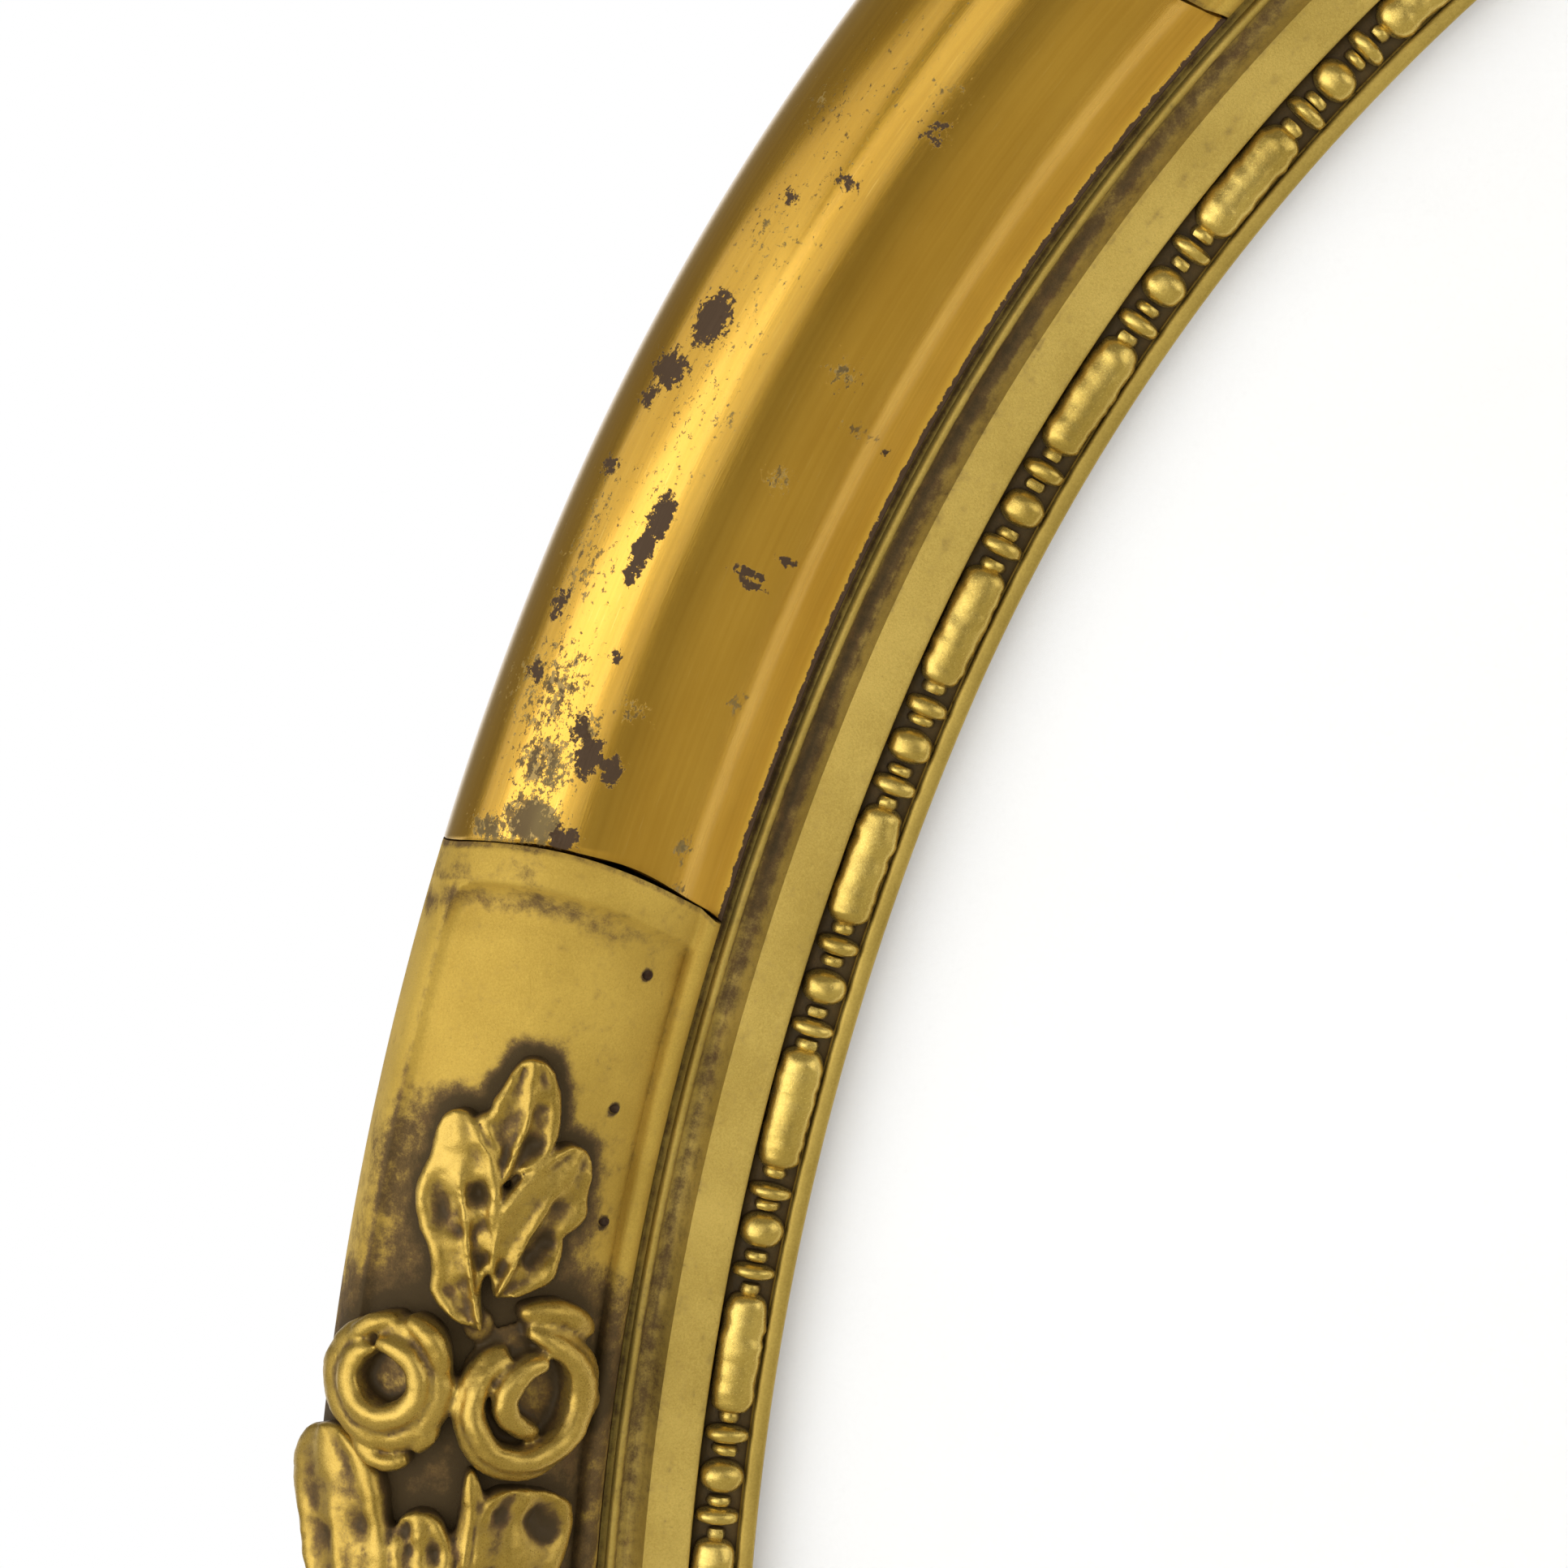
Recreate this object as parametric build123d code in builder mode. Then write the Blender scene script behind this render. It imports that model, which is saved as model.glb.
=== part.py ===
from build123d import *
import os
from math import asin, atan2, copysign, cos, degrees, radians, sin, sqrt

os.makedirs("parts", exist_ok=True)

# Sight oval: the clear opening, drawn as twelve tangent arcs. Angles are those of the outward normal.
sight_width = 476.0
sight_height = 640.0
side_break_angle = 24.0
top_break_angle = 52.0
shoulder_angle = 38.0

# Widths of the moulding, counted outwards from the sight edge.
moulding_width = 65.0
lip_width = 2.3
bead_strip_width = 6.9
band_width = 13.5
moulding_gap = 0.1

# Glazing stack in the rebate, and the sunk ledge behind it that carries the turn buttons.
glass_thickness = 2.0
card_thickness = 1.4
board_thickness = 4.0
glazing_slack = 0.2
glazing_gap = 0.8
rebate_width = 7.0
button_recess_depth = 5.0
button_ledge_width = 9.0

# Core: the jointed wooden oval under the gilded mouldings.
lip_thickness = 2.4
lip_rise = 2.4
lip_round = 0.7
core_inset = 3.0
core_taper = 4.0
core_joint_angle = 31.0
tongue_width = 26.0
tongue_length = 30.0
tongue_thickness = 4.0
tongue_clearance = 0.1

# Bead strip: bars, reels and beads on a thin base.
bead_repeats_per_quarter = 12
bead_base_thickness = 1.2
bead_centre_rise = 1.8
bar_length = 17.9
bar_radius = 2.75
bar_end_round = 1.6
bead_radius = 2.9
reel_radius = 2.6
reel_length = 3.2
neck_length = 1.8
spindle_radius = 1.2
reel_round_share = 0.33
bead_round_share = 0.98

# Sight band: flat, hollow and a thin ridge at its outer edge.
band_rise = 4.6
band_flat_width = 6.2
band_edge_round = 0.4
hollow_depth = 2.4
ridge_width = 1.6
ridge_rise = 4.2
ridge_crevice_width = 0.8
ridge_crevice_rise = 2.6

# Bolster: the burnished half-round between the ornamented panels.
foot_strip_width = 2.0
foot_rise = 5.2
bolster_side_rise = 4.0
bolster_round = 17.0

# Ornamented panels: arched ends, raised border and a sunk field.
side_panel_half_angle = 18.3
top_panel_half_angle = 46.5
arch_sagitta = 6.2
seam_gap = 0.4
inner_border_width = 3.4
outer_border_width = 4.7
end_band_width = 6.0
field_sink = 2.2
field_shift = 1.7
brad_radius = 0.8
brad_clearance = 0.05
brad_sink = 1.5
brad_foot_height = 6.0
brad_shares = ((0.68, 0.07), (0.80, 0.13), (0.94, 0.14))

# Cast ornament: leaves of even thickness on the field, and rolled roses that stand over it.
leaf_thickness = 3.4
leaf_width_share = 0.34
rose_radius = 8.4
rose_height = 7.0
rose_root = 5.0
centre_rose_radius = 10.5
calyx_radius = 8.0
rose_profile_shares = ((1.0, 0.0), (1.0, 0.34), (0.86, 0.66), (0.66, 0.58), (0.46, 1.0), (0.24, 0.86), (0.16, 0.36))
spray_rose_shares = ((0.500, 0.84), (0.492, 0.25))
spray_calyx_shares = (0.545, 0.53)
spray_leaf_shares = (
    (0.54, 0.50, 0.842, 0.505),
    (0.54, 0.58, 0.770, 0.800),
    (0.54, 0.42, 0.749, 0.150),
)
centre_rose_shares = (0.0, 0.5)
centre_leaf_shares = (
    (0.035, 0.62, 0.40, 0.93),
    (0.035, 0.50, 0.36, 0.55),
    (0.035, 0.38, 0.40, 0.08),
)

# Turn buttons and their screws, spaced round the ledge.
button_angles = (0.0, 60.0, 120.0, 180.0, 240.0, 300.0)
button_pivot_out = 11.6
button_width = 7.0
button_reach = 7.5
button_thickness = 2.0
button_play = 0.15
screw_radius = 1.3
screw_head_radius = 2.6
screw_head_height = 1.5
screw_grip = 8.0
screw_slot_width = 0.7
screw_slot_depth = 0.6
running_clearance = 0.08
screw_clearance = 0.03

# Hanger: a plate with an eye, and the wire ring that swings in it, in a pocket at the top of the back.
hanger_out = 38.0
pocket_width = 46.0
pocket_height = 24.0
pocket_depth = 7.0
pocket_corner_round = 4.0
plate_width = 42.0
plate_height = 10.0
plate_thickness = 1.2
plate_corner_round = 4.0
eye_length = 7.0
eye_wall = 1.1
eye_axis_height = 4.2
ring_wire_radius = 1.1
ring_bow_radius = 10.0
ring_clearance = 0.06
hanger_screw_spacing = 33.0
hanger_screw_radius = 1.2
hanger_screw_head_radius = 2.4
hanger_screw_head_height = 1.4
hanger_screw_grip = 7.0

overrun = 1.0
sweep_pad_angle = 4.0

# Places across the moulding and heights over the back plane.
seat_height = (button_recess_depth + glazing_slack + board_thickness + card_thickness + glass_thickness
               + lip_thickness)
lip_back_height = seat_height - lip_thickness
lip_top_height = seat_height + lip_rise
ledge_outer = rebate_width + button_ledge_width
core_front_outer = moulding_width - core_inset
core_back_outer = core_front_outer - core_taper
bead_inner = lip_width + moulding_gap
bead_outer = bead_inner + bead_strip_width
bead_line = (bead_inner + bead_outer) / 2
band_inner = bead_outer + moulding_gap
band_outer = band_inner + band_width
bolster_inner = band_outer + moulding_gap
foot_outer = bolster_inner + foot_strip_width
foot_height = seat_height + foot_rise
side_height = seat_height + bolster_side_rise
crest_out = moulding_width - bolster_round
crest_height = side_height + bolster_round
crest_run = crest_out - foot_outer
crest_climb = crest_height - foot_height
inner_round = (crest_run**2 + crest_climb**2) / (2 * crest_climb)
inner_centre_height = crest_height - inner_round
field_inner = bolster_inner + inner_border_width
field_outer = moulding_width - outer_border_width
field_width = field_outer - field_inner
field_round = inner_round - field_sink
field_centre_out = crest_out - field_shift

# Radii and centres of the three arcs of a quadrant: the side, the shoulder and the top.
half_width = sight_width / 2
half_height = sight_height / 2
shoulder_run = half_width * cos(radians(shoulder_angle))
shoulder_climb = half_height * sin(radians(shoulder_angle))
shoulder_radius = (half_width * half_height) ** 2 / (shoulder_run**2 + shoulder_climb**2) ** 1.5
side_cos = cos(radians(side_break_angle))
side_sin = sin(radians(side_break_angle))
top_cos = cos(radians(top_break_angle))
top_sin = sin(radians(top_break_angle))
width_left = half_width - shoulder_radius * (side_cos - top_cos)
height_left = half_height - shoulder_radius * (top_sin - side_sin)
solve_scale = (1 - side_cos) * (1 - top_sin) - top_cos * side_sin
side_radius = (width_left * (1 - top_sin) - top_cos * height_left) / solve_scale
top_radius = ((1 - side_cos) * height_left - side_sin * width_left) / solve_scale
side_centre = (half_width - side_radius, 0)
shoulder_centre = (side_centre[0] + (side_radius - shoulder_radius) * side_cos,
                   (side_radius - shoulder_radius) * side_sin)
top_centre = (0, half_height - top_radius)


def oval_point(angle, out=0):
    """Point in the plane of the oval, at a distance out from the sight edge, where the normal has this angle."""
    across = cos(radians(angle))
    along = sin(radians(angle))
    fold = degrees(atan2(abs(along), abs(across)))
    if fold <= side_break_angle:
        centre, radius = side_centre, side_radius
    elif fold <= top_break_angle:
        centre, radius = shoulder_centre, shoulder_radius
    else:
        centre, radius = top_centre, top_radius
    x = centre[0] + (radius + out) * abs(across)
    z = centre[1] + (radius + out) * abs(along)
    return copysign(x, across), copysign(z, along)


def arc_stations(low, high):
    """Angles between low and high where one arc ends and the next starts, with both ends."""
    breaks = [turn + sign * part for turn in range(-360, 721, 180) for sign in (-1, 1)
              for part in (side_break_angle, top_break_angle)]
    return [low] + sorted(angle for angle in breaks if low < angle < high) + [high]


def oval_arcs(low, high, out=0):
    """Draws the arcs of the oval between two angles."""
    stations = arc_stations(low, high)
    for start, stop in zip(stations, stations[1:]):
        ThreePointArc(oval_point(start, out), oval_point((start + stop) / 2, out), oval_point(stop, out))


def section_plane(angle):
    """Plane across the moulding: x runs outwards from the sight edge, y forwards from the back."""
    x, z = oval_point(angle)
    across = cos(radians(angle))
    along = sin(radians(angle))
    return Plane(origin=(x, 0, z), x_dir=(across, 0, along), z_dir=(along, 0, -across))


def place(angle, out, height):
    """Plane at a spot on the moulding: x runs outwards, y along the oval and z forwards."""
    x, z = oval_point(angle, out)
    return Plane(origin=(x, -height, z), x_dir=(cos(radians(angle)), 0, sin(radians(angle))), z_dir=(0, -1, 0))


def arch(angle, toward, shift):
    """Draws the arched end of a panel, bulging along the oval, and returns its inner and outer end."""
    inner = bolster_inner - overrun
    outer = moulding_width + overrun
    points = []
    for out, bulge in ((inner, shift), ((inner + outer) / 2, shift + arch_sagitta), (outer, shift)):
        x, z = oval_point(angle, out)
        points.append((x - toward * bulge * sin(radians(angle)), z + toward * bulge * cos(radians(angle))))
    ThreePointArc(*points)
    return points[0], points[-1]


def region_outline(low, high, outwards, shift):
    """Draws round the stretch between two arched ends, which bulge outwards (1) from it or inwards (-1)."""
    low_inner, low_outer = arch(low, -outwards, shift)
    high_inner, high_outer = arch(high, outwards, shift)
    Polyline(low_outer, oval_point(low, sight_height), oval_point(high, sight_height), high_outer)
    Polyline(low_inner, oval_point(low, -rebate_width), oval_point(high, -rebate_width), high_inner)


def bolster_height(out):
    """Height of the burnished surface over the back."""
    if out < crest_out:
        return inner_centre_height + sqrt(inner_round**2 - (crest_out - out) ** 2)
    return side_height + sqrt(bolster_round**2 - (out - crest_out) ** 2)


def field_height(out, raised=0):
    """Height of the panel's field over the back, or of a layer raised from it."""
    return inner_centre_height + sqrt((field_round + raised) ** 2 - (out - field_centre_out) ** 2)


def bolster_outline():
    """Draws round the section of the burnished moulding."""
    inner_middle = (foot_outer + crest_out) / 2
    outer_middle = crest_out + bolster_round * sin(radians(45))
    Polyline((core_front_outer, seat_height), (bolster_inner, seat_height), (bolster_inner, foot_height),
             (foot_outer, foot_height))
    ThreePointArc((foot_outer, foot_height), (inner_middle, bolster_height(inner_middle)),
                  (crest_out, crest_height))
    ThreePointArc((crest_out, crest_height), (outer_middle, bolster_height(outer_middle)),
                  (moulding_width, side_height))
    TangentArc((moulding_width, side_height), (core_front_outer, seat_height), tangent=(0, -1))


def layer_outline(low_raised, high_raised):
    """Draws round the section between two heights over the field, across its full width."""
    middle = (field_inner + field_outer) / 2
    for raised in (low_raised, high_raised):
        ThreePointArc((field_inner, field_height(field_inner, raised)),
                      (middle, field_height(middle, raised)),
                      (field_outer, field_height(field_outer, raised)))
    for out in (field_inner, field_outer):
        Line((out, field_height(out, low_raised)), (out, field_height(out, high_raised)))


panels = {
    "right": (0.0, side_panel_half_angle),
    "top": (90.0, top_panel_half_angle),
    "left": (180.0, side_panel_half_angle),
    "bottom": (270.0, top_panel_half_angle),
}
corners = {
    "upper_right": (side_panel_half_angle, 90 - top_panel_half_angle),
    "upper_left": (90 + top_panel_half_angle, 180 - side_panel_half_angle),
    "lower_left": (180 + side_panel_half_angle, 270 - top_panel_half_angle),
    "lower_right": (270 + top_panel_half_angle, 360 - side_panel_half_angle),
}
core_spans = {
    "core_right": (-core_joint_angle, core_joint_angle),
    "core_top": (core_joint_angle, 180 - core_joint_angle),
    "core_left": (180 - core_joint_angle, 180 + core_joint_angle),
    "core_bottom": (180 + core_joint_angle, 360 - core_joint_angle),
}
core_joint_angles = [start for start, stop in core_spans.values()]

# Places of the tongues, screws, brads and the hanger.
tongue_out = (ledge_outer + core_back_outer) / 2
tongue_places = [place(angle, tongue_out, seat_height / 2) for angle in core_joint_angles]
button_places = [place(angle, button_pivot_out, button_recess_depth) for angle in button_angles]
brad_rows = {field_inner + out_share * field_width: [] for angle_share, out_share in brad_shares}
for angle_share, out_share in brad_shares:
    brad_out = field_inner + out_share * field_width
    brad_rows[brad_out] += [place(middle + side * angle_share * half_angle, brad_out, brad_foot_height)
                            for middle, half_angle in panels.values() for side in (-1, 1)]
brad_places = [spot for row in brad_rows.values() for spot in row]
brad_hole_length = crest_height - brad_foot_height
hanger_floor = place(90, hanger_out, pocket_depth)
hanger_screw_places = [hanger_floor.offset(-plate_thickness) * Location((0, side * hanger_screw_spacing / 2))
                       for side in (-1, 1)]

# Wooden core: four curved lengths with the lip, the rebate and the button ledge worked on them.
for name, (start, stop) in core_spans.items():
    with BuildPart() as core:
        with BuildLine(Plane.XZ):
            oval_arcs(start, stop)
        with BuildSketch(section_plane(start)) as core_section:
            with BuildLine():
                Polyline(
                    (0, lip_back_height),
                    (0, lip_top_height),
                    (lip_width, lip_top_height),
                    (lip_width, seat_height),
                    (core_front_outer, seat_height),
                    (core_back_outer, 0),
                    (ledge_outer, 0),
                    (ledge_outer, button_recess_depth),
                    (rebate_width, button_recess_depth),
                    (rebate_width, lip_back_height),
                    close=True,
                )
            make_face()
            fillet(core_section.vertices().group_by(Axis.Y)[-1], lip_round)
        sweep()
        with Locations(*tongue_places):
            Box(tongue_width + tongue_clearance, tongue_length + tongue_clearance,
                tongue_thickness + tongue_clearance, mode=Mode.SUBTRACT)
        with Locations(*button_places):
            Cylinder(screw_radius + screw_clearance, screw_grip, mode=Mode.SUBTRACT,
                     align=(Align.CENTER, Align.CENTER, Align.MIN))
        with Locations(*brad_places):
            Cylinder(brad_radius + brad_clearance, brad_hole_length, mode=Mode.SUBTRACT,
                     align=(Align.CENTER, Align.CENTER, Align.MIN))
        if name == "core_top":
            with BuildSketch(hanger_floor):
                RectangleRounded(pocket_height, pocket_width, pocket_corner_round)
            extrude(amount=-pocket_depth - overrun, mode=Mode.SUBTRACT)
            with Locations(*hanger_screw_places):
                Cylinder(hanger_screw_radius + screw_clearance, plate_thickness + hanger_screw_grip,
                         mode=Mode.SUBTRACT, align=(Align.CENTER, Align.CENTER, Align.MIN))
    core.part.label = name
    export_step(core.part, f"parts/{name}.step")

# Loose tongues: hardwood plates glued across the joints of the core.
with BuildPart() as core_tongues:
    with Locations(*tongue_places):
        Box(tongue_width, tongue_length, tongue_thickness)
core_tongues.part.label = "core_tongues"
export_step(core_tongues.part, "parts/core_tongues.step")

# Burnished bolsters, hollowed at both ends to take the arched ends of the panels.
for name, (start, stop) in corners.items():
    with BuildPart() as bolster:
        with BuildLine(Plane.XZ):
            oval_arcs(start, stop)
        with BuildSketch(section_plane(start)):
            with BuildLine():
                bolster_outline()
            make_face()
        sweep()
        with BuildSketch(Plane.XZ):
            with BuildLine():
                region_outline(start, stop, -1, seam_gap)
            make_face()
        extrude(amount=crest_height + overrun, mode=Mode.INTERSECT)
    bolster.part.label = f"bolster_{name}"
    export_step(bolster.part, f"parts/bolster_{name}.step")

# Template of a rolled rose, standing on its own origin, with a root that runs below it.
roses = {}
for kind, radius in (("spray", rose_radius), ("centre", centre_rose_radius)):
    with BuildPart() as rose:
        with BuildSketch(Plane.XZ):
            with BuildLine():
                rim = [(share * radius, height_share * rose_height) for share, height_share in rose_profile_shares]
                Spline(*rim[1:])
                Polyline(rim[-1], (0, rim[-1][1]), (0, -rose_root), (radius, -rose_root), rim[1])
            make_face()
        revolve(axis=Axis.Z)
    roses[kind] = rose.part


def ornament_point(middle, half_angle, angle_share, out_share):
    """Angle and distance out of a spot on a panel's field, from shares of its half length and width."""
    return middle + angle_share * half_angle, field_inner + out_share * field_width


def rose_place(middle, half_angle, angle_share, out_share):
    """Plane on the field, square to its slope."""
    angle, out = ornament_point(middle, half_angle, angle_share, out_share)
    slope = degrees(asin((out - field_centre_out) / field_round))
    return place(angle, out, field_height(out)).rotated((0, slope, 0))


def leaf_outline(base_spot, tip_spot):
    """Draws a pointed leaf, seen from the front, from its base to its tip."""
    base = Vector(*oval_point(*base_spot))
    tip = Vector(*oval_point(*tip_spot))
    belly = (tip - base).rotate(Axis.Z, 90) * (leaf_width_share / 2)
    ThreePointArc(base, (base + tip) / 2 + belly, tip)
    ThreePointArc(tip, (base + tip) / 2 - belly, base)


for name, (middle, half_angle) in panels.items():
    start, stop = middle - half_angle, middle + half_angle

    # Field cutter: the space over the sunk field, up to the arched end bands.
    with BuildPart() as field_space:
        with BuildLine(Plane.XZ):
            oval_arcs(start, stop)
        with BuildSketch(section_plane(start)):
            with BuildLine():
                layer_outline(0, bolster_round)
            make_face()
        sweep()
        with BuildSketch(Plane.XZ):
            with BuildLine():
                region_outline(start, stop, 1, -end_band_width)
            make_face()
        extrude(amount=crest_height + bolster_round, mode=Mode.INTERSECT)

    # Panel: the same moulding as the bolsters with arched ends, its field sunk inside a raised border.
    with BuildPart() as panel:
        with BuildLine(Plane.XZ):
            oval_arcs(start - sweep_pad_angle, stop + sweep_pad_angle)
        with BuildSketch(section_plane(start - sweep_pad_angle)):
            with BuildLine():
                bolster_outline()
            make_face()
        sweep()
        with BuildSketch(Plane.XZ):
            with BuildLine():
                region_outline(start, stop, 1, 0)
            make_face()
        extrude(amount=crest_height + overrun, mode=Mode.INTERSECT)
        add(field_space.part, mode=Mode.SUBTRACT)
        undrilled_panel = panel.part
        with Locations(*brad_places):
            Cylinder(brad_radius + brad_clearance, brad_hole_length, mode=Mode.SUBTRACT,
                     align=(Align.CENTER, Align.CENTER, Align.MIN))
    panel.part.label = f"panel_{name}"
    export_step(panel.part, f"parts/panel_{name}.step")

    # Castings: a spray of three leaves with two roses at each end, and a rose among leaves in the middle.
    castings = {
        "spray_one": (-1, spray_leaf_shares),
        "spray_two": (1, spray_leaf_shares),
        "centre": (0, centre_leaf_shares),
    }
    for kind, (end, leaf_shares) in castings.items():
        with BuildPart() as casting:
            with BuildLine(Plane.XZ):
                oval_arcs(start, stop)
            with BuildSketch(section_plane(start)):
                with BuildLine():
                    layer_outline(-overrun, leaf_thickness)
                make_face()
            sweep()
            with BuildSketch(Plane.XZ):
                for side in ((end,) if end else (-1, 1)):
                    for base_share, base_out, tip_share, tip_out in leaf_shares:
                        with BuildLine():
                            leaf_outline(ornament_point(middle, half_angle, side * base_share, base_out),
                                         ornament_point(middle, half_angle, side * tip_share, tip_out))
                        make_face()
                if end:
                    angle_share, out_share = spray_calyx_shares
                    spot = ornament_point(middle, half_angle, end * angle_share, out_share)
                    with Locations(oval_point(*spot)):
                        Circle(calyx_radius)
            extrude(amount=crest_height + leaf_thickness, mode=Mode.INTERSECT)
            if end:
                spots = [(end * angle_share, out_share) for angle_share, out_share in spray_rose_shares]
            else:
                spots = [centre_rose_shares]
            with Locations(*[rose_place(middle, half_angle, *spot) for spot in spots]):
                add(roses["spray" if end else "centre"])
            add(undrilled_panel, mode=Mode.SUBTRACT)
        casting.part.label = f"casting_{name}_{kind}"
        export_step(casting.part, f"parts/casting_{name}_{kind}.step")

# Brads that pin the panels to the core, sunk under the field.
with BuildPart() as panel_brads:
    for brad_out, row in brad_rows.items():
        with Locations(*row):
            Cylinder(brad_radius, field_height(brad_out) - brad_sink - brad_foot_height,
                     align=(Align.CENTER, Align.CENTER, Align.MIN))
panel_brads.part.label = "panel_brads"
export_step(panel_brads.part, "parts/panel_brads.step")

# Templates of the bar, the reel and the bead, each with its axis along the oval.
turned = {}
for kind, length, radius, end_round in (
    ("bar", bar_length, bar_radius, bar_end_round),
    ("reel", reel_length, reel_radius, reel_length * reel_round_share),
    ("bead", 2 * bead_radius, bead_radius, bead_radius * bead_round_share),
):
    with BuildPart() as turning:
        with BuildSketch(Plane.XY) as turning_section:
            with Locations((radius / 2, 0)):
                Rectangle(radius, length)
            fillet(turning_section.vertices().group_by(Axis.X)[-1], end_round)
        revolve(axis=Axis.Y)
    turned[kind] = turning.part

# Length of a quarter of the bead line, arc by arc, and the angle that lies at a length along it.
bead_spans = (
    (0, side_break_angle, side_radius + bead_line),
    (side_break_angle, top_break_angle, shoulder_radius + bead_line),
    (top_break_angle, 90, top_radius + bead_line),
)
quarter_length = sum(radius * radians(stop - start) for start, stop, radius in bead_spans)
bead_period = quarter_length / bead_repeats_per_quarter


def bead_angle(length):
    """Normal angle at a length along the bead line from the right-hand end of the oval."""
    quarter, rest = divmod(length, quarter_length)
    back = quarter % 2 == 1
    rest = quarter_length - rest if back else rest
    for start, stop, radius in bead_spans:
        span = radius * radians(stop - start)
        if rest <= span:
            break
        rest -= span
    angle = start + degrees(rest / radius)
    return (quarter + 1) * 90 - angle if back else quarter * 90 + angle


# Bead strips: a quarter each, cast in one piece and glued between the lip and the sight band.
bead_centre_height = seat_height + bead_centre_rise
strip_shift = (bar_length + neck_length) / 2
reel_shift = bead_radius + neck_length + reel_length / 2
for quarter, name in enumerate(corners):
    first = quarter * bead_repeats_per_quarter
    steps = range(first, first + bead_repeats_per_quarter)
    spots = {
        "bar": [(step + 1) * bead_period for step in steps],
        "bead": [(step + 0.5) * bead_period for step in steps],
        "reel": [(step + 0.5) * bead_period + side * reel_shift for step in steps for side in (-1, 1)],
    }
    start = bead_angle(quarter * quarter_length + strip_shift)
    stop = bead_angle((quarter + 1) * quarter_length + strip_shift)
    with BuildPart() as bead_strip:
        with BuildLine(Plane.XZ):
            oval_arcs(start, stop)
        with BuildSketch(section_plane(start)):
            with Locations((bead_line, seat_height + bead_base_thickness / 2)):
                Rectangle(bead_strip_width, bead_base_thickness)
            with Locations((bead_line, bead_centre_height)):
                Circle(spindle_radius)
        sweep()
        for kind, lengths in spots.items():
            with Locations(*[place(bead_angle(length), bead_line, bead_centre_height) for length in lengths]):
                add(turned[kind])
        split(bisect_by=Plane.XZ.offset(seat_height), keep=Keep.TOP)
    bead_strip.part.label = f"bead_strip_{name}"
    export_step(bead_strip.part, f"parts/bead_strip_{name}.step")

# Sight bands: a quarter each, with a flat, a hollow and a thin ridge against the bolsters.
band_height = seat_height + band_rise
hollow_inner = band_inner + band_flat_width
crevice_inner = band_outer - ridge_crevice_width
ridge_inner = crevice_inner - ridge_width
ridge_height = seat_height + ridge_rise
crevice_height = seat_height + ridge_crevice_rise
for quarter, name in enumerate(corners):
    with BuildPart() as band:
        with BuildLine(Plane.XZ):
            oval_arcs(quarter * 90, (quarter + 1) * 90)
        with BuildSketch(section_plane(quarter * 90)):
            with BuildLine():
                Polyline((hollow_inner, band_height), (band_inner + band_edge_round, band_height),
                         (band_inner, band_height - band_edge_round), (band_inner, seat_height),
                         (band_outer, seat_height), (band_outer, crevice_height), (crevice_inner, crevice_height))
                ThreePointArc((hollow_inner, band_height),
                              ((hollow_inner + ridge_inner) / 2, band_height - hollow_depth),
                              (ridge_inner, crevice_height))
                ThreePointArc((ridge_inner, crevice_height), ((ridge_inner + crevice_inner) / 2, ridge_height),
                              (crevice_inner, crevice_height))
            make_face()
        sweep()
    band.part.label = f"sight_band_{name}"
    export_step(band.part, f"parts/sight_band_{name}.step")

# Glass, blank card and backing board, stacked in the rebate from the lip backwards.
glass_back = lip_back_height - glass_thickness
card_back = glass_back - card_thickness
board_back = card_back - board_thickness
for name, back, thickness in (
    ("glass_pane", glass_back, glass_thickness),
    ("blank_card", card_back, card_thickness),
    ("backing_board", board_back, board_thickness),
):
    with BuildPart() as sheet:
        with BuildSketch(Plane.XZ.offset(back)):
            with BuildLine():
                oval_arcs(0, 360, rebate_width - glazing_gap)
            make_face()
        extrude(amount=thickness)
    sheet.part.label = name
    export_step(sheet.part, f"parts/{name}.step")

# Turn buttons: flat brass tongues on a screw each, pointing inwards over the backing board.
for number, spot in enumerate(button_places, 1):
    with BuildPart() as button:
        with BuildSketch(spot.offset(-button_play)):
            with Locations((-button_reach / 2, 0)):
                SlotCenterToCenter(button_reach, button_width)
            Circle(screw_radius + running_clearance, mode=Mode.SUBTRACT)
        extrude(amount=-button_thickness)
    button.part.label = f"turn_button_{number}"
    export_step(button.part, f"parts/turn_button_{number}.step")

# Templates of the round-headed slotted screws, pointing up, each with its origin under the head.
screws = {}
for kind, radius, grip, head_radius, head_height in (
    ("button", screw_radius, screw_grip + button_thickness, screw_head_radius, screw_head_height),
    ("hanger", hanger_screw_radius, hanger_screw_grip + plate_thickness, hanger_screw_head_radius,
     hanger_screw_head_height),
):
    with BuildPart() as screw:
        with BuildSketch(Plane.XZ):
            with BuildLine():
                ThreePointArc((0, -head_height),
                              (head_radius * sin(radians(45)), -head_height * cos(radians(45))),
                              (head_radius, 0))
                Polyline((head_radius, 0), (radius, 0), (radius, grip - radius), (0, grip), (0, -head_height))
            make_face()
        revolve(axis=Axis.Z)
        with Locations((0, 0, -head_height)):
            Box(screw_slot_width, 2 * head_radius, 2 * screw_slot_depth, mode=Mode.SUBTRACT)
    screws[kind] = screw.part

with BuildPart() as turn_button_screws:
    with Locations(*[spot.offset(-button_thickness - 2 * button_play) for spot in button_places]):
        add(screws["button"])
turn_button_screws.part.label = "turn_button_screws"
export_step(turn_button_screws.part, "parts/turn_button_screws.step")

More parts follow.
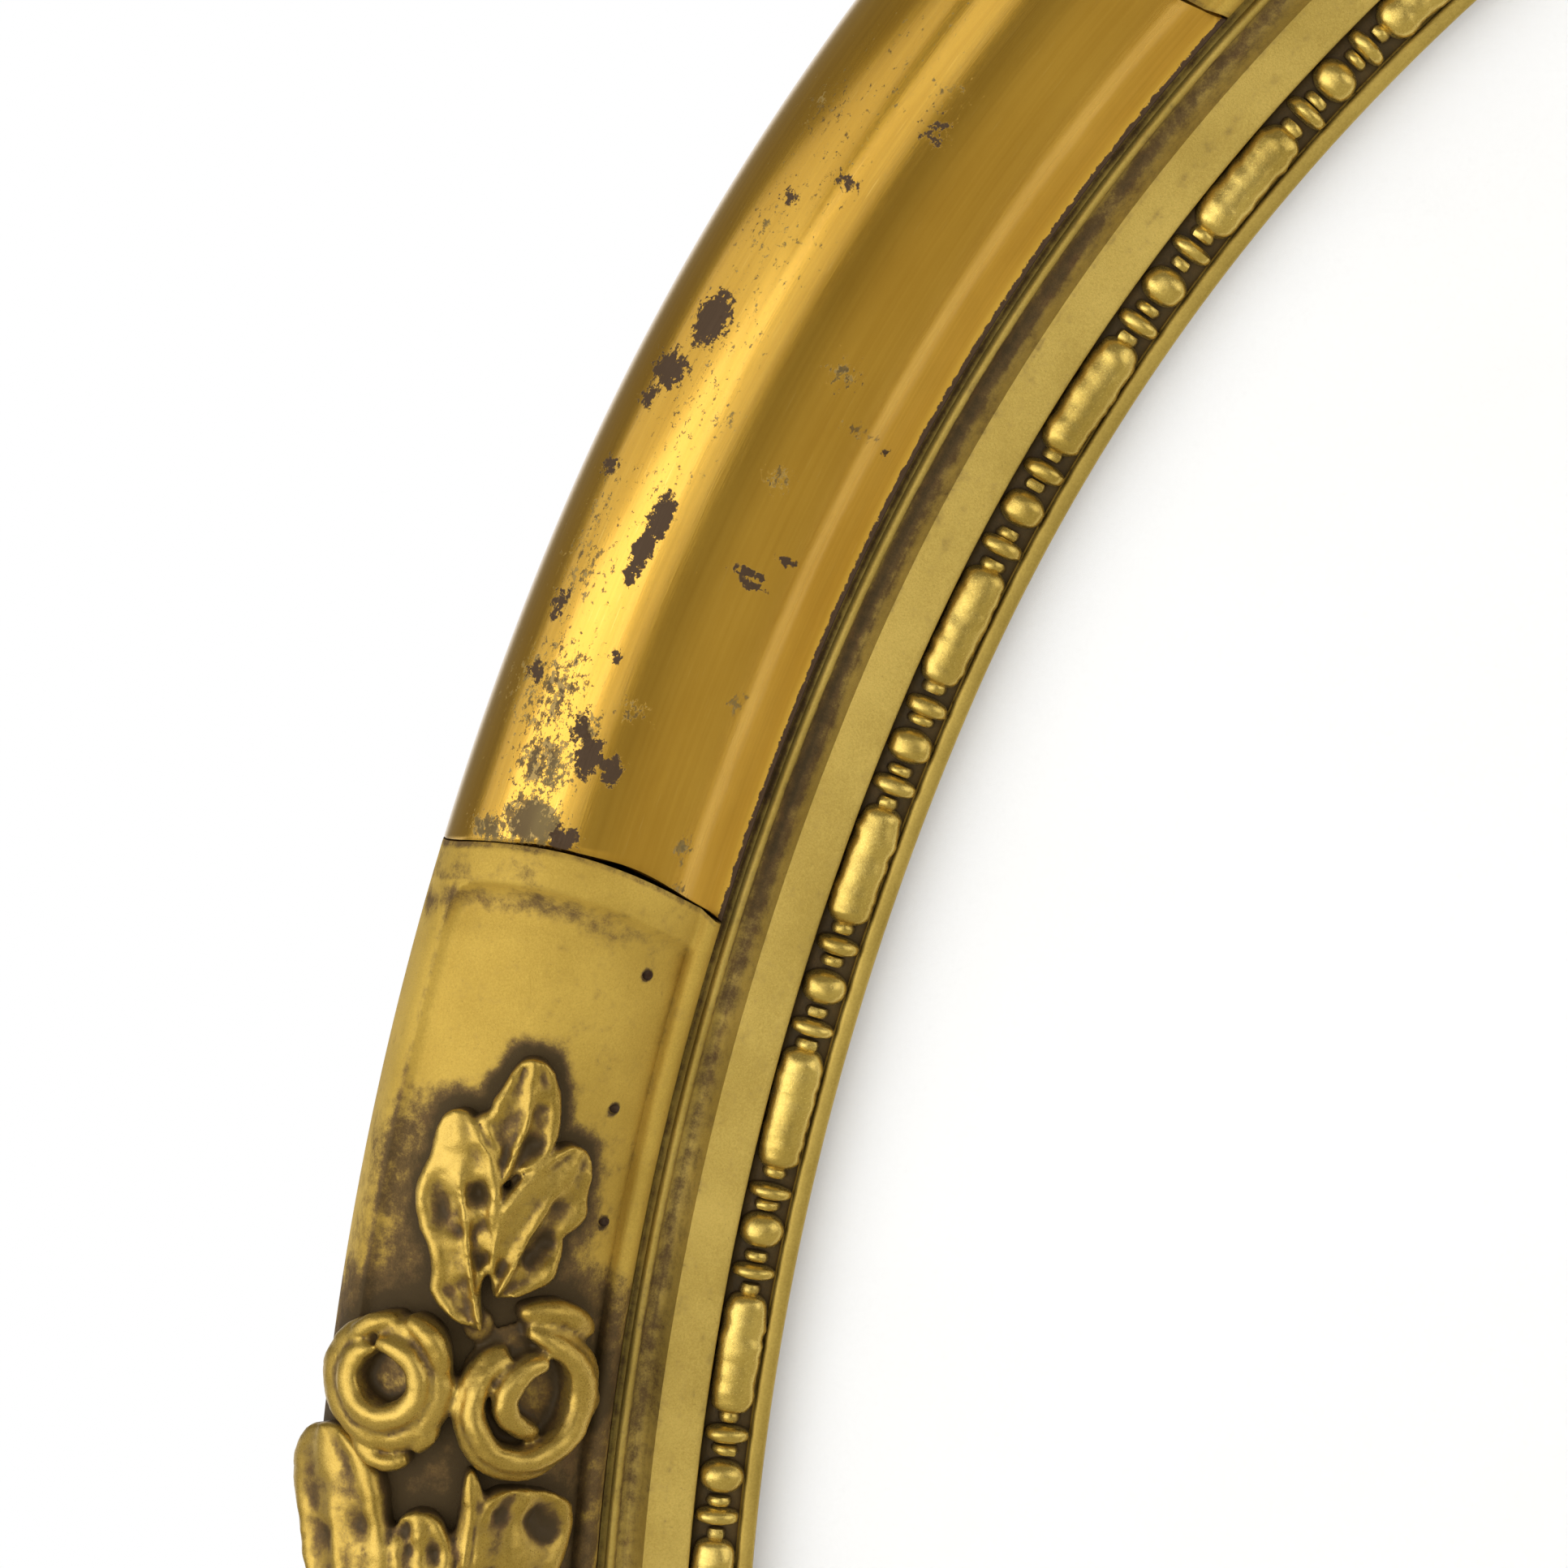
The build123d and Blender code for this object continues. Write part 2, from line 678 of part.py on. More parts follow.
# Hanger plate with its eye.
eye_plane = place(90, hanger_out, eye_axis_height)
eye_radius = ring_wire_radius + ring_clearance + eye_wall
with BuildPart() as hanger_plate:
    with BuildSketch(hanger_floor):
        RectangleRounded(plate_height, plate_width, plate_corner_round)
    extrude(amount=-plate_thickness)
    with BuildSketch(Plane(eye_plane.origin, x_dir=eye_plane.x_dir, z_dir=eye_plane.y_dir)):
        Circle(eye_radius)
    extrude(amount=eye_length / 2, both=True)
    with BuildSketch(Plane(eye_plane.origin, x_dir=eye_plane.x_dir, z_dir=eye_plane.y_dir)):
        Circle(ring_wire_radius + ring_clearance)
    extrude(amount=eye_length, both=True, mode=Mode.SUBTRACT)
    with Locations(*hanger_screw_places):
        Cylinder(hanger_screw_radius + screw_clearance, 2 * plate_thickness, mode=Mode.SUBTRACT)
hanger_plate.part.label = "hanger_plate"
export_step(hanger_plate.part, "parts/hanger_plate.step")

# Hanger ring: a straight wire through the eye, closed by a half-round bow that hangs down.
with BuildPart() as hanger_ring:
    with BuildSketch(Plane(eye_plane.origin, x_dir=eye_plane.y_dir, z_dir=eye_plane.x_dir)):
        with Locations((ring_bow_radius, 0)):
            Circle(ring_wire_radius)
    revolve(axis=Axis(eye_plane.origin, eye_plane.z_dir), revolution_arc=180)
    with BuildSketch(Plane(eye_plane.origin, x_dir=eye_plane.x_dir, z_dir=eye_plane.y_dir)):
        Circle(ring_wire_radius)
    extrude(amount=ring_bow_radius, both=True)
    with Locations(*[eye_plane * Location((0, side * ring_bow_radius)) for side in (-1, 1)]):
        Sphere(ring_wire_radius)
hanger_ring.part.label = "hanger_ring"
export_step(hanger_ring.part, "parts/hanger_ring.step")

with BuildPart() as hanger_screws:
    with Locations(*hanger_screw_places):
        add(screws["hanger"])
hanger_screws.part.label = "hanger_screws"
export_step(hanger_screws.part, "parts/hanger_screws.step")

print("outer size", round(sight_width + 2 * moulding_width, 1), round(sight_height + 2 * moulding_width, 1))
print("arc radii", round(side_radius, 1), round(shoulder_radius, 1), round(top_radius, 1))
print("bead period", round(bead_period, 2))
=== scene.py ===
from math import atan2, copysign, cos, degrees, exp, pi, radians, sin, sqrt
import random

import bmesh
import bpy
from mathutils import Matrix, Vector, kdtree, noise


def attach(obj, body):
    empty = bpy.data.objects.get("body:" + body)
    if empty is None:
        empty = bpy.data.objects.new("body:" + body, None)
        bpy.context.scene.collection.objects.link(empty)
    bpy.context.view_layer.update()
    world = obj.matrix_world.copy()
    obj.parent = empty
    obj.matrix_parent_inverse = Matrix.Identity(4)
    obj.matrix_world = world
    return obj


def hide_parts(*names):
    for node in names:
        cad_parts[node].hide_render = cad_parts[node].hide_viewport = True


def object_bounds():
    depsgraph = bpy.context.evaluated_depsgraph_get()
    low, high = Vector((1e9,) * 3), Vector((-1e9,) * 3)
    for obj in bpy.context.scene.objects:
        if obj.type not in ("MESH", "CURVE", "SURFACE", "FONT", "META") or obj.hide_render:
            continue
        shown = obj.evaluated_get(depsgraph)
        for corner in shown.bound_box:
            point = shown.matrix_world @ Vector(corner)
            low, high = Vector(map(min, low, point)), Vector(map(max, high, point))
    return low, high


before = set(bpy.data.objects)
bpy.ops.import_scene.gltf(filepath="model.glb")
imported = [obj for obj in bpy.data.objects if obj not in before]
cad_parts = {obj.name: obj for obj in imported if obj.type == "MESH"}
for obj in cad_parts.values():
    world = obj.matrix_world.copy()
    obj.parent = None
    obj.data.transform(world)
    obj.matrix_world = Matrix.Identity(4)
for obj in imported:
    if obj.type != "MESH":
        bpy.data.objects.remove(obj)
cad_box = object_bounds()


# Wooden core: four sawn lengths of limewood, joined into an oval with loose tongues.
# The back is bare and darkened by age, the outer side is washed with ochre size,
# and the front edge has taken a little of the gilding.
class Finish:
    """A socket among a finish's nodes: sums on it add Math nodes, and node() adds any other kind."""

    def __init__(self, tree, socket=None):
        self.tree = tree
        self.socket = socket

    def node(self, kind, settings=(), sockets=(), output=0):
        made = self.tree.nodes.new(kind)
        for name, value in dict(settings).items():
            setattr(made, name, value)
        for name, value in dict(sockets).items():
            if isinstance(value, Finish):
                self.tree.links.new(value.socket, made.inputs[name])
            else:
                made.inputs[name].default_value = value
        return Finish(self.tree, made.outputs[output])

    def sum(self, operation, *values):
        return self.node("ShaderNodeMath", {"operation": operation}, enumerate(values))

    def __add__(self, other):
        return self.sum("ADD", self, other)

    def __sub__(self, other):
        return self.sum("SUBTRACT", self, other)

    def __rsub__(self, other):
        return self.sum("SUBTRACT", other, self)

    def __mul__(self, other):
        return self.sum("MULTIPLY", self, other)

    __radd__ = __add__
    __rmul__ = __mul__

    def rise(self, low, high):
        """Goes smoothly from 0 to 1 between two values."""
        return self.node("ShaderNodeMapRange", {"interpolation_type": "SMOOTHSTEP"},
                         {"Value": self, "From Min": low, "From Max": high})

    def mix(self, none, full):
        """Colour between none, where this is 0, and full, where it is 1."""
        return self.node("ShaderNodeMix", {"data_type": "RGBA"}, {0: self, 6: none, 7: full}, 2)

    def stretch(self, x, y, z):
        return self.node("ShaderNodeMapping", {}, {"Vector": self, "Scale": (x, y, z)})

    def cloud(self, scale, detail=2.0, roughness=0.5):
        """Soft noise over this vector, about 0.5."""
        return self.node("ShaderNodeTexNoise", {}, {"Vector": self, "Scale": scale, "Detail": detail,
                                                    "Roughness": roughness}, "Fac")

    def number(self, name):
        """A number that the mesh keeps for each of its points."""
        return self.node("ShaderNodeAttribute", {"attribute_name": name}, output="Fac")

    def into(self, shader, name):
        self.tree.links.new(self.socket, shader.inputs[name])

    def bump(self, shader, strength, distance):
        self.node("ShaderNodeBump", {}, {"Height": self, "Strength": strength, "Distance": distance}).into(
            shader, "Normal")


def start_finish(name, constants):
    """A new material, the start of its nodes and its shader, with the sockets that are the same all over."""
    material = bpy.data.materials.new(name)
    material.use_nodes = True
    shader = material.node_tree.nodes["Principled BSDF"]
    for socket, value in constants.items():
        shader.inputs[socket].default_value = value
    return material, Finish(material.node_tree), shader


def in_millimetres(start):
    """Object coordinates, counted in millimetres."""
    at = start.node("ShaderNodeTexCoord", output="Object")
    return at.node("ShaderNodeVectorMath", {"operation": "SCALE"}, {0: at, "Scale": 1000.0})


aged_wood = (0.155, 0.082, 0.036, 1)
pale_wood = (0.315, 0.190, 0.092, 1)
wood_pore = (0.060, 0.030, 0.014, 1)
ochre_size = (0.330, 0.185, 0.050, 1)
edge_gold = (0.520, 0.340, 0.075, 1)


def limewood(name, across_x, across_z):
    """Limewood with its grain along the axis that has the smaller number."""
    material, start, shader = start_finish(name, {"Specular IOR Level": 0.35})
    at = in_millimetres(start)
    fibre = at.stretch(across_x, 0.35, across_z)
    figure = fibre.cloud(0.28, 6.0, 0.6)
    pore = fibre.cloud(2.6, 3.0, 0.7).rise(0.60, 0.72)
    stain = at.cloud(0.02, 4.0, 0.6).rise(0.35, 0.7)
    height = 0 - at.node("ShaderNodeSeparateXYZ", {}, {0: at}, "Y")
    ragged = at.cloud(0.4, 4.0, 0.6)
    washed = (height + ragged * 5.0).rise(7.0, 11.0)
    gilded = (height + ragged * 1.6).rise(12.9, 13.3)
    bare = pore.mix(figure.mix(aged_wood, stain.mix(pale_wood, aged_wood)), wood_pore)
    gilded.mix(washed.mix(bare, ochre_size), edge_gold).into(shader, "Base Color")
    (0.78 - gilded * 0.3 + figure * 0.1).into(shader, "Roughness")
    gilded.into(shader, "Metallic")
    (figure * 0.6 + pore * -0.5).bump(shader, 0.5, 0.0004)
    return material


def coat(node, material):
    """Gives a node of the frame its finish."""
    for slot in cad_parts[node].material_slots:
        slot.material = material


upright_wood = limewood("limewood_upright", 1.0, 0.05)
level_wood = limewood("limewood_level", 0.05, 1.0)
for node, material in (("core_right", upright_wood), ("core_left", upright_wood), ("core_top", level_wood),
                       ("core_bottom", level_wood), ("core_tongues", level_wood)):
    coat(node, material)


# Lip: the gilded edge round the opening, worked on the core and laid with gesso and leaf.
# It keeps a smooth olive gold, rubbed a little along its crown.
sight_half_width = 238.0
sight_half_height = 320.0
side_break = 24.0
top_break = 52.0
shoulder_angle = 38.0
crest_line = 44.0
oval_side = (cos(radians(side_break)), sin(radians(side_break)))
oval_top = (cos(radians(top_break)), sin(radians(top_break)))
shoulder_radius = (sight_half_width * sight_half_height) ** 2 / (
    (sight_half_width * cos(radians(shoulder_angle))) ** 2
    + (sight_half_height * sin(radians(shoulder_angle))) ** 2) ** 1.5
width_left = sight_half_width - shoulder_radius * (oval_side[0] - oval_top[0])
height_left = sight_half_height - shoulder_radius * (oval_top[1] - oval_side[1])
solve_scale = (1 - oval_side[0]) * (1 - oval_top[1]) - oval_top[0] * oval_side[1]
side_radius = (width_left * (1 - oval_top[1]) - oval_top[0] * height_left) / solve_scale
top_radius = ((1 - oval_side[0]) * height_left - oval_side[1] * width_left) / solve_scale
oval_arcs = (
    (0.0, side_break, side_radius, sight_half_width - side_radius, 0.0),
    (side_break, top_break, shoulder_radius,
     sight_half_width - side_radius + (side_radius - shoulder_radius) * oval_side[0],
     (side_radius - shoulder_radius) * oval_side[1]),
    (top_break, 90.0, top_radius, 0.0, sight_half_height - top_radius),
)


def quarter_length(line):
    """Length in mm of a quarter of the oval, along a line this far out from the sight edge."""
    return sum(radians(stop - start) * (radius + line) for start, stop, radius, x, z in oval_arcs)


quarter_run = quarter_length(crest_line)


def oval_spot(angle, out, height):
    """Place in metres at this angle of the normal, mm out from the sight edge and mm up from the back."""
    across, along = cos(radians(angle)), sin(radians(angle))
    fold = degrees(atan2(abs(along), abs(across)))
    for start, stop, radius, x, z in oval_arcs:
        if fold <= stop:
            break
    return Vector((copysign(x + (radius + out) * abs(across), across), -height,
                   copysign(z + (radius + out) * abs(along), along))) * 0.001


def run_at(angle):
    """Length in mm along the crest of the moulding, from the right-hand end of the oval."""
    half, rest = divmod(angle, 180.0)
    fold = min(rest, 180.0 - rest)
    length = sum(radians(min(fold, stop) - start) * (radius + crest_line)
                 for start, stop, radius, x, z in oval_arcs if fold > start)
    return half * 2 * quarter_run + (length if rest <= 90.0 else 2 * quarter_run - length)


def angle_at(length, line=crest_line):
    """Angle of the normal at a length along a line, from the right-hand end of the oval."""
    quarter = quarter_length(line)
    half, rest = divmod(length, 2 * quarter)
    fold = min(rest, 2 * quarter - rest)
    for start, stop, radius, x, z in oval_arcs:
        span = radians(stop - start) * (radius + line)
        if fold <= span or stop == 90.0:
            break
        fold -= span
    turned = start + degrees(fold / (radius + line))
    return half * 180.0 + (turned if rest <= quarter else 180.0 - turned)


def oval_place(spot):
    """Angle of the normal and mm out from the sight edge, for a place in metres."""
    x, z = abs(spot.x) * 1000, abs(spot.z) * 1000
    for start, stop, radius, centre_x, centre_z in oval_arcs:
        turn = degrees(atan2(z - centre_z, x - centre_x))
        if turn <= stop:
            break
    out = sqrt((x - centre_x) ** 2 + (z - centre_z) ** 2) - radius
    turn = turn if spot.x >= 0 else 180.0 - turn
    return (turn if spot.z >= 0 else 360.0 - turn), out


def lay_length(section, start, stop, stations, shape, crowd=0.0):
    """A closed length of moulding. section is a loop of (out, height) in mm, and shape(share, first, last, out,
    height) gives the run, out and height that each of its points really has. The map named lay is in mm."""
    bm = bmesh.new()
    lay = bm.loops.layers.uv.new("lay")
    girth = [0.0]
    for (out, height), (next_out, next_height) in zip(section, section[1:] + section[:1]):
        girth.append(girth[-1] + sqrt((next_out - out) ** 2 + (next_height - height) ** 2))
    bmesh.ops.create_grid(bm, x_segments=stations, y_segments=len(section), size=1.0)
    first, last = run_at(start), run_at(stop)
    spots = {}
    for vert in bm.verts:
        share = (vert.co.x + 1) / 2
        share -= crowd * sin(2 * pi * share) / (2 * pi)
        step = round((vert.co.y + 1) / 2 * len(section))
        out, height = section[step % len(section)]
        run, out, height = shape(share, first, last, out, height)
        spots[vert] = (run, girth[step])
        vert.co = oval_spot(angle_at(run), out, height)
    for face in bm.faces:
        for loop in face.loops:
            loop[lay].uv = spots[loop.vert]
    bmesh.ops.remove_doubles(bm, verts=bm.verts, dist=1e-6)
    bmesh.ops.holes_fill(bm, edges=[edge for edge in bm.edges if edge.is_boundary], sides=0)
    bmesh.ops.recalc_face_normals(bm, faces=bm.faces)
    return bm


def even_run(share, first, last, out, height):
    return first + share * (last - first), out, height


def mark(bm, name, value):
    """Gives each point of a mesh a number that its finish reads: value(angle, out, height), height in mm."""
    layer = bm.verts.layers.float.new(name)
    for vert in bm.verts:
        vert[layer] = value(*oval_place(vert.co), -vert.co.y * 1000)


def make_piece(name, bm, material, sharp=38.0):
    mesh = bpy.data.meshes.new(name)
    bm.to_mesh(mesh)
    bm.free()
    mesh.shade_smooth()
    mesh.set_sharp_from_angle(angle=radians(sharp))
    mesh.materials.append(material)
    piece = bpy.data.objects.new(name, mesh)
    bpy.context.scene.collection.objects.link(piece)
    return piece


patina_and_shade_brown = (0.120, 0.070, 0.028, 1)
patina_and_shade_dark = (0.036, 0.022, 0.012, 1)
bole_red = (0.130, 0.058, 0.028, 1)


def matte_gilding(name, bright, dull, roughness, blotches, grit, metal):
    """Leaf on gesso, left unburnished: grainy, with brown patina and painted shade where the mesh's own number
    says so.
    metal is the share of leaf that still shines, and grit how rough its ground is."""
    material, start, shader = start_finish(name, {"Specular IOR Level": 0.15})
    at = in_millimetres(start)
    patina_and_shade = start.number("patina_and_shade")
    grain = at.cloud(3.4, 4.0, 0.7)
    blot = at.cloud(0.30, 8.0, 0.72)
    drift = at.cloud(0.06, 3.0)
    speck = at.cloud(1.6, 4.0, 0.8).rise(0.60, 0.71)
    darkening = patina_and_shade + (blot - 0.5) * blotches + (grain - 0.5) * 0.55
    dirt_and_shade = darkening.rise(0.30, 0.85)
    deep = darkening.rise(0.70, 1.20)
    reddened = at.cloud(0.25, 3.0).rise(0.55, 0.75) * 0.55
    gold = (drift * 0.6 + grain * 0.6).rise(0.40, 0.82).mix(dull, bright)
    brown = deep.mix(reddened.mix(patina_and_shade_brown, bole_red), patina_and_shade_dark)
    # Where the mesh's number is high the leaf turns brown: patina in hollows and seams, and painted shade on
    # some pieces.
    (dirt_and_shade * 0.94 + speck * 0.30 - dirt_and_shade * speck * 0.28).mix(gold, brown).into(shader, "Base Color")
    ((1.0 - dirt_and_shade * 0.45 - deep * 0.40) * metal).into(shader, "Metallic")
    (grain * 0.20 + dirt_and_shade * 0.16 + roughness).into(shader, "Roughness")
    (grain * grit + blot * 0.6 - dirt_and_shade * 0.5).bump(shader, 0.45, 0.00025)
    return material


lip_section = [(-0.1, 12.7), (-0.1, 16.75), (0.02, 17.15), (0.28, 17.4), (0.65, 17.5), (1.65, 17.5),
               (2.0, 17.4), (2.24, 17.15), (2.33, 16.8), (2.33, 15.2), (1.3, 15.2), (1.3, 12.7)]
lip_crown = 16.8
olive_gold = matte_gilding("olive_gold", (0.54, 0.385, 0.092, 1), (0.38, 0.265, 0.056, 1), 0.30, 0.6, 0.5, 0.7)
lip = lay_length(lip_section, 0.0, 360.0, 900, even_run)
mark(lip, "patina_and_shade", lambda angle, out, height: 0.25 if height > lip_crown else 0.50)
lip = make_piece("lip_gilding", lip, olive_gold)
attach(lip, "frame")


# Sight band: a quarter-long run of carved and gessoed moulding next to the bead strip, four in all.
# A flat with a crisp inner edge falls into a hollow, and a thin ridge stands between two dark crevices.
quarters = {"upper_right": 0.0, "upper_left": 90.0, "lower_left": 180.0, "lower_right": 270.0}
band_inner, band_outer = 9.4, 22.9
band_top, band_seat = 19.6, 15.0
hollow_start, ridge_start, ridge_end = 16.2, 20.2, 21.9
hollow_low, ridge_top, crevice_low = 17.0, 19.3, 17.2
band_edge, band_fall = 0.45, 0.35


def through(a, b, c, out):
    """Height of the parabola through three (out, height) points."""
    return (a[1] * (out - b[0]) * (out - c[0]) / ((a[0] - b[0]) * (a[0] - c[0]))
            + b[1] * (out - a[0]) * (out - c[0]) / ((b[0] - a[0]) * (b[0] - c[0]))
            + c[1] * (out - a[0]) * (out - b[0]) / ((c[0] - a[0]) * (c[0] - b[0])))


band_section = [(band_inner, band_seat), (band_inner, 18.0), (band_inner, 19.1), (band_inner + 0.06, 19.35),
                (band_inner + 0.2, 19.53), (band_inner + band_edge, band_top)]
for step in range(1, 12):
    out = band_inner + band_edge + step * (hollow_start - band_inner - band_edge) / 12
    band_section.append((out, band_top - band_fall * (step / 12) ** 2))
hollow_points = ((hollow_start, band_top - band_fall), ((hollow_start + ridge_start) / 2 + 0.5, hollow_low),
                 (ridge_start, crevice_low + 0.2))
for step in range(17):
    out = hollow_start + step * (ridge_start - hollow_start) / 16
    band_section.append((out, through(*hollow_points, out)))
for step in range(1, 15):
    turn = pi * (step / 14 - 0.5)
    out = (ridge_start + ridge_end) / 2 + sin(turn) * (ridge_end - ridge_start) / 2
    band_section.append((out, crevice_low + (ridge_top - crevice_low) * max(0.0, cos(turn)) ** 0.75))
band_section += [(22.55, 17.05), (band_outer, 17.0), (band_outer, band_seat)]


def hand_run(share, first, last, out, height):
    """Hand-worked plaster: the surface wanders by a hair along its length."""
    run = first + share * (last - first)
    if height > band_seat:
        height += 0.10 * noise.noise((run * 0.05, out * 0.3, 1.7))
        height += 0.05 * noise.noise((run * 0.4, out * 0.8, 5.1))
    return run, out, height


def hump(away, width):
    """1 where away is 0, falling off to both sides."""
    return exp(-(away / width) ** 2)


def held(value):
    """The value, held between 0 and 1."""
    return min(1.0, max(0.0, value))


def band_patina(angle, out, height):
    """Dark in the hollow and the crevice, less so beside the panels, and light on the flat and the ridge."""
    run = run_at(angle)
    fold = min(angle % 180.0, 180.0 - angle % 180.0)
    beside_panel = 1 / (1 + exp((fold - 18.0) / 1.2)) + 1 / (1 + exp((44.5 - fold) / 1.2))
    dark = 0.47 * hump(out - 19.1, 1.4) + 0.60 * hump(out - 22.6, 0.45)
    dark += 0.26 * held((out - 12.0) / 6.5) ** 1.6 * (out < 20.4)
    dark *= 0.95 + 0.35 * noise.noise((run * 0.02, 4.4, 0.5)) - 0.40 * beside_panel
    dark += 0.16 * noise.noise((run * 0.02, out * 1.1, 7.7)) + 0.10 * noise.noise((run * 0.06, out * 2.4, 3.1))
    return 0.26 + dark + (0.5 if out < 9.6 and height < 18.7 else 0.0)


band_gold = matte_gilding("band_gold", (0.63, 0.46, 0.118, 1), (0.43, 0.30, 0.064, 1), 0.38, 1.25, 0.9, 0.6)
for name, angle in quarters.items():
    bm = lay_length(band_section, angle, angle + 90.0, 320, hand_run)
    mark(bm, "patina_and_shade", band_patina)
    band = make_piece(f"band_{name}", bm, band_gold)
    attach(band, "frame")
    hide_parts(f"sight_band_{name}")


# Bead strip: cast composition glued in the channel between the lip and the band, a quarter at a time.
# Long bars alternate with a bead between two reels, and small square studs join them. Dirt fills the channel,
# and the flanks of the beads darken towards it as painted shade.
bead_line = 5.85
bead_axis = 16.8
channel_floor = 16.3
bead_repeats = 12
bar_length = 17.9
bar_radius = 2.78
bead_length, bead_radius = 5.3, 2.75
reel_place, reel_length, reel_radius = 6.2, 2.7, 2.70
bead_spread = 1.20
# Studs beside the bead and beside the bars, as (place, length, radius, least share of that radius, seed).
studs = ((3.95, 1.7, 1.55, 0.85, 5), (9.0, 1.9, 1.5, 0.80, 8))
bead_quarter = quarter_length(bead_line)
bead_period = bead_quarter / bead_repeats
channel_section = [(2.62, 15.0), (2.62, 15.9), (3.0, 16.1), (4.4, 16.15), (5.85, 16.1), (7.3, 16.15),
                   (8.9, 16.1), (9.3, 15.9), (9.3, 15.0)]


def skin(bm, rings, sides, spot):
    """A closed rounded body: spot(along, turn) places its points, both running from 0 to 1."""
    verts = bmesh.ops.create_grid(bm, x_segments=rings, y_segments=sides, size=1.0)["verts"]
    for vert in verts:
        vert.co = spot((vert.co.x + 1) / 2, ((vert.co.y + 1) / 2) % 1.0)
    bmesh.ops.remove_doubles(bm, verts=verts, dist=1e-5)
    verts = [vert for vert in verts if vert.is_valid]
    edges = {edge for vert in verts for edge in vert.link_edges if edge.is_boundary}
    bmesh.ops.holes_fill(bm, edges=list(edges), sides=0)


def turning(bm, length_at, length, radius, squareness, rings, sides, rough, seed):
    """A turned-looking bead, reel, bar or stud with its axis along the strip."""
    def spot(along, turn):
        reach = sin((along - 0.5) * pi)
        across, up = cos(2 * pi * turn), sin(2 * pi * turn)
        girth = radius * max(0.0, 1 - abs(reach) ** squareness) ** 0.5
        girth *= 1 + rough * noise.noise((reach * length * 0.28 + seed * 7.3, across * 0.8, up * 0.8 + seed))
        girth *= 1 + rough * 0.4 * noise.noise((reach * length * 0.9 + seed, across * 2.2, up * 2.2))
        out = bead_line + girth * bead_spread * copysign(abs(across) ** 0.85, across) + lean * reach
        height = bead_axis + girth * copysign(abs(up) ** 0.85, up)
        return oval_spot(angle_at(length_at + reach * length / 2, bead_line), out, height)

    lean = 0.15 * noise.noise((seed * 3.7, 0.4, 9.2))
    skin(bm, rings, sides, spot)


cast_gold = matte_gilding("cast_gold", (0.76, 0.570, 0.162, 1), (0.52, 0.365, 0.082, 1), 0.14, 0.7, 0.25, 0.9)
draw = random.Random(41)
for quarter, name in enumerate(quarters):
    shift = bar_length / 2 + 0.9
    start = angle_at(quarter * bead_quarter + shift, bead_line)
    stop = angle_at((quarter + 1) * bead_quarter + shift, bead_line)
    bm = lay_length(channel_section, start, stop, 300, hand_run)
    for step in range(bead_repeats):
        middle = (quarter * bead_repeats + step + 0.5) * bead_period
        seed = quarter * 40 + step * 3.1
        turning(bm, middle + bead_period / 2, bar_length * draw.uniform(1.02, 1.06),
                bar_radius, 9.0, 36, 24, 0.11, seed)
        turning(bm, middle + draw.uniform(-0.2, 0.2), bead_length * draw.uniform(0.95, 1.06),
                bead_radius, 2.6, 14, 20, 0.10, seed + 1)
        for side in (-1, 1):
            turning(bm, middle + side * reel_place + draw.uniform(-0.2, 0.2),
                    reel_length * draw.uniform(0.85, 1.1), reel_radius, 3.2, 8, 18, 0.12, seed + 2 + side)
            for place, length, radius, least, stud_seed in studs:
                turning(bm, middle + side * place, length, radius * draw.uniform(least, 1.1),
                        6.0, 5, 8, 0.15, seed + stud_seed + side)
    # The channel is dark with dirt; the bars, beads and reels darken down their flanks towards it, which is
    # painted shade.
    mark(bm, "patina_and_shade", lambda angle, out, height: 1.05 - 0.87 * held((height - channel_floor) / 2.3))
    strip = make_piece(f"beads_{name}", bm, cast_gold, 50.0)
    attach(strip, "frame")
    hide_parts(f"bead_strip_{name}")


# Burnished bolsters: four plain lengths of the big half-round, water-gilded over red bole and burnished.
# Their ends are hollowed to fit the arched panels. The leaf is scratched, rubbed olive and chipped to the bole.
bolster_inner = 23.0
foot_outer, foot_height = 25.0, 20.2
foot_fillet = 3.6
crest_out, crest_height = 48.0, 36.0
bolster_round, side_height = 17.0, 19.0
foot_rise = crest_height - foot_height
inner_round = ((crest_out - foot_outer) ** 2 + foot_rise ** 2) / (2 * foot_rise)
inner_centre = crest_height - inner_round
arch_sagitta = 6.2
arch_half = 22.0
side_half_angle, top_half_angle = 18.3, 46.5


def bolster_height(out):
    if out < crest_out:
        return inner_centre + sqrt(max(0.0, inner_round ** 2 - (crest_out - out) ** 2))
    return side_height + sqrt(max(0.0, bolster_round ** 2 - (out - crest_out) ** 2))


def arch(out):
    """How far an arched panel end reaches along the oval, in mm."""
    radius = (arch_half ** 2 + arch_sagitta ** 2) / (2 * arch_sagitta)
    return sqrt(radius ** 2 - min(arch_half, abs(out - crest_line)) ** 2) - radius + arch_sagitta


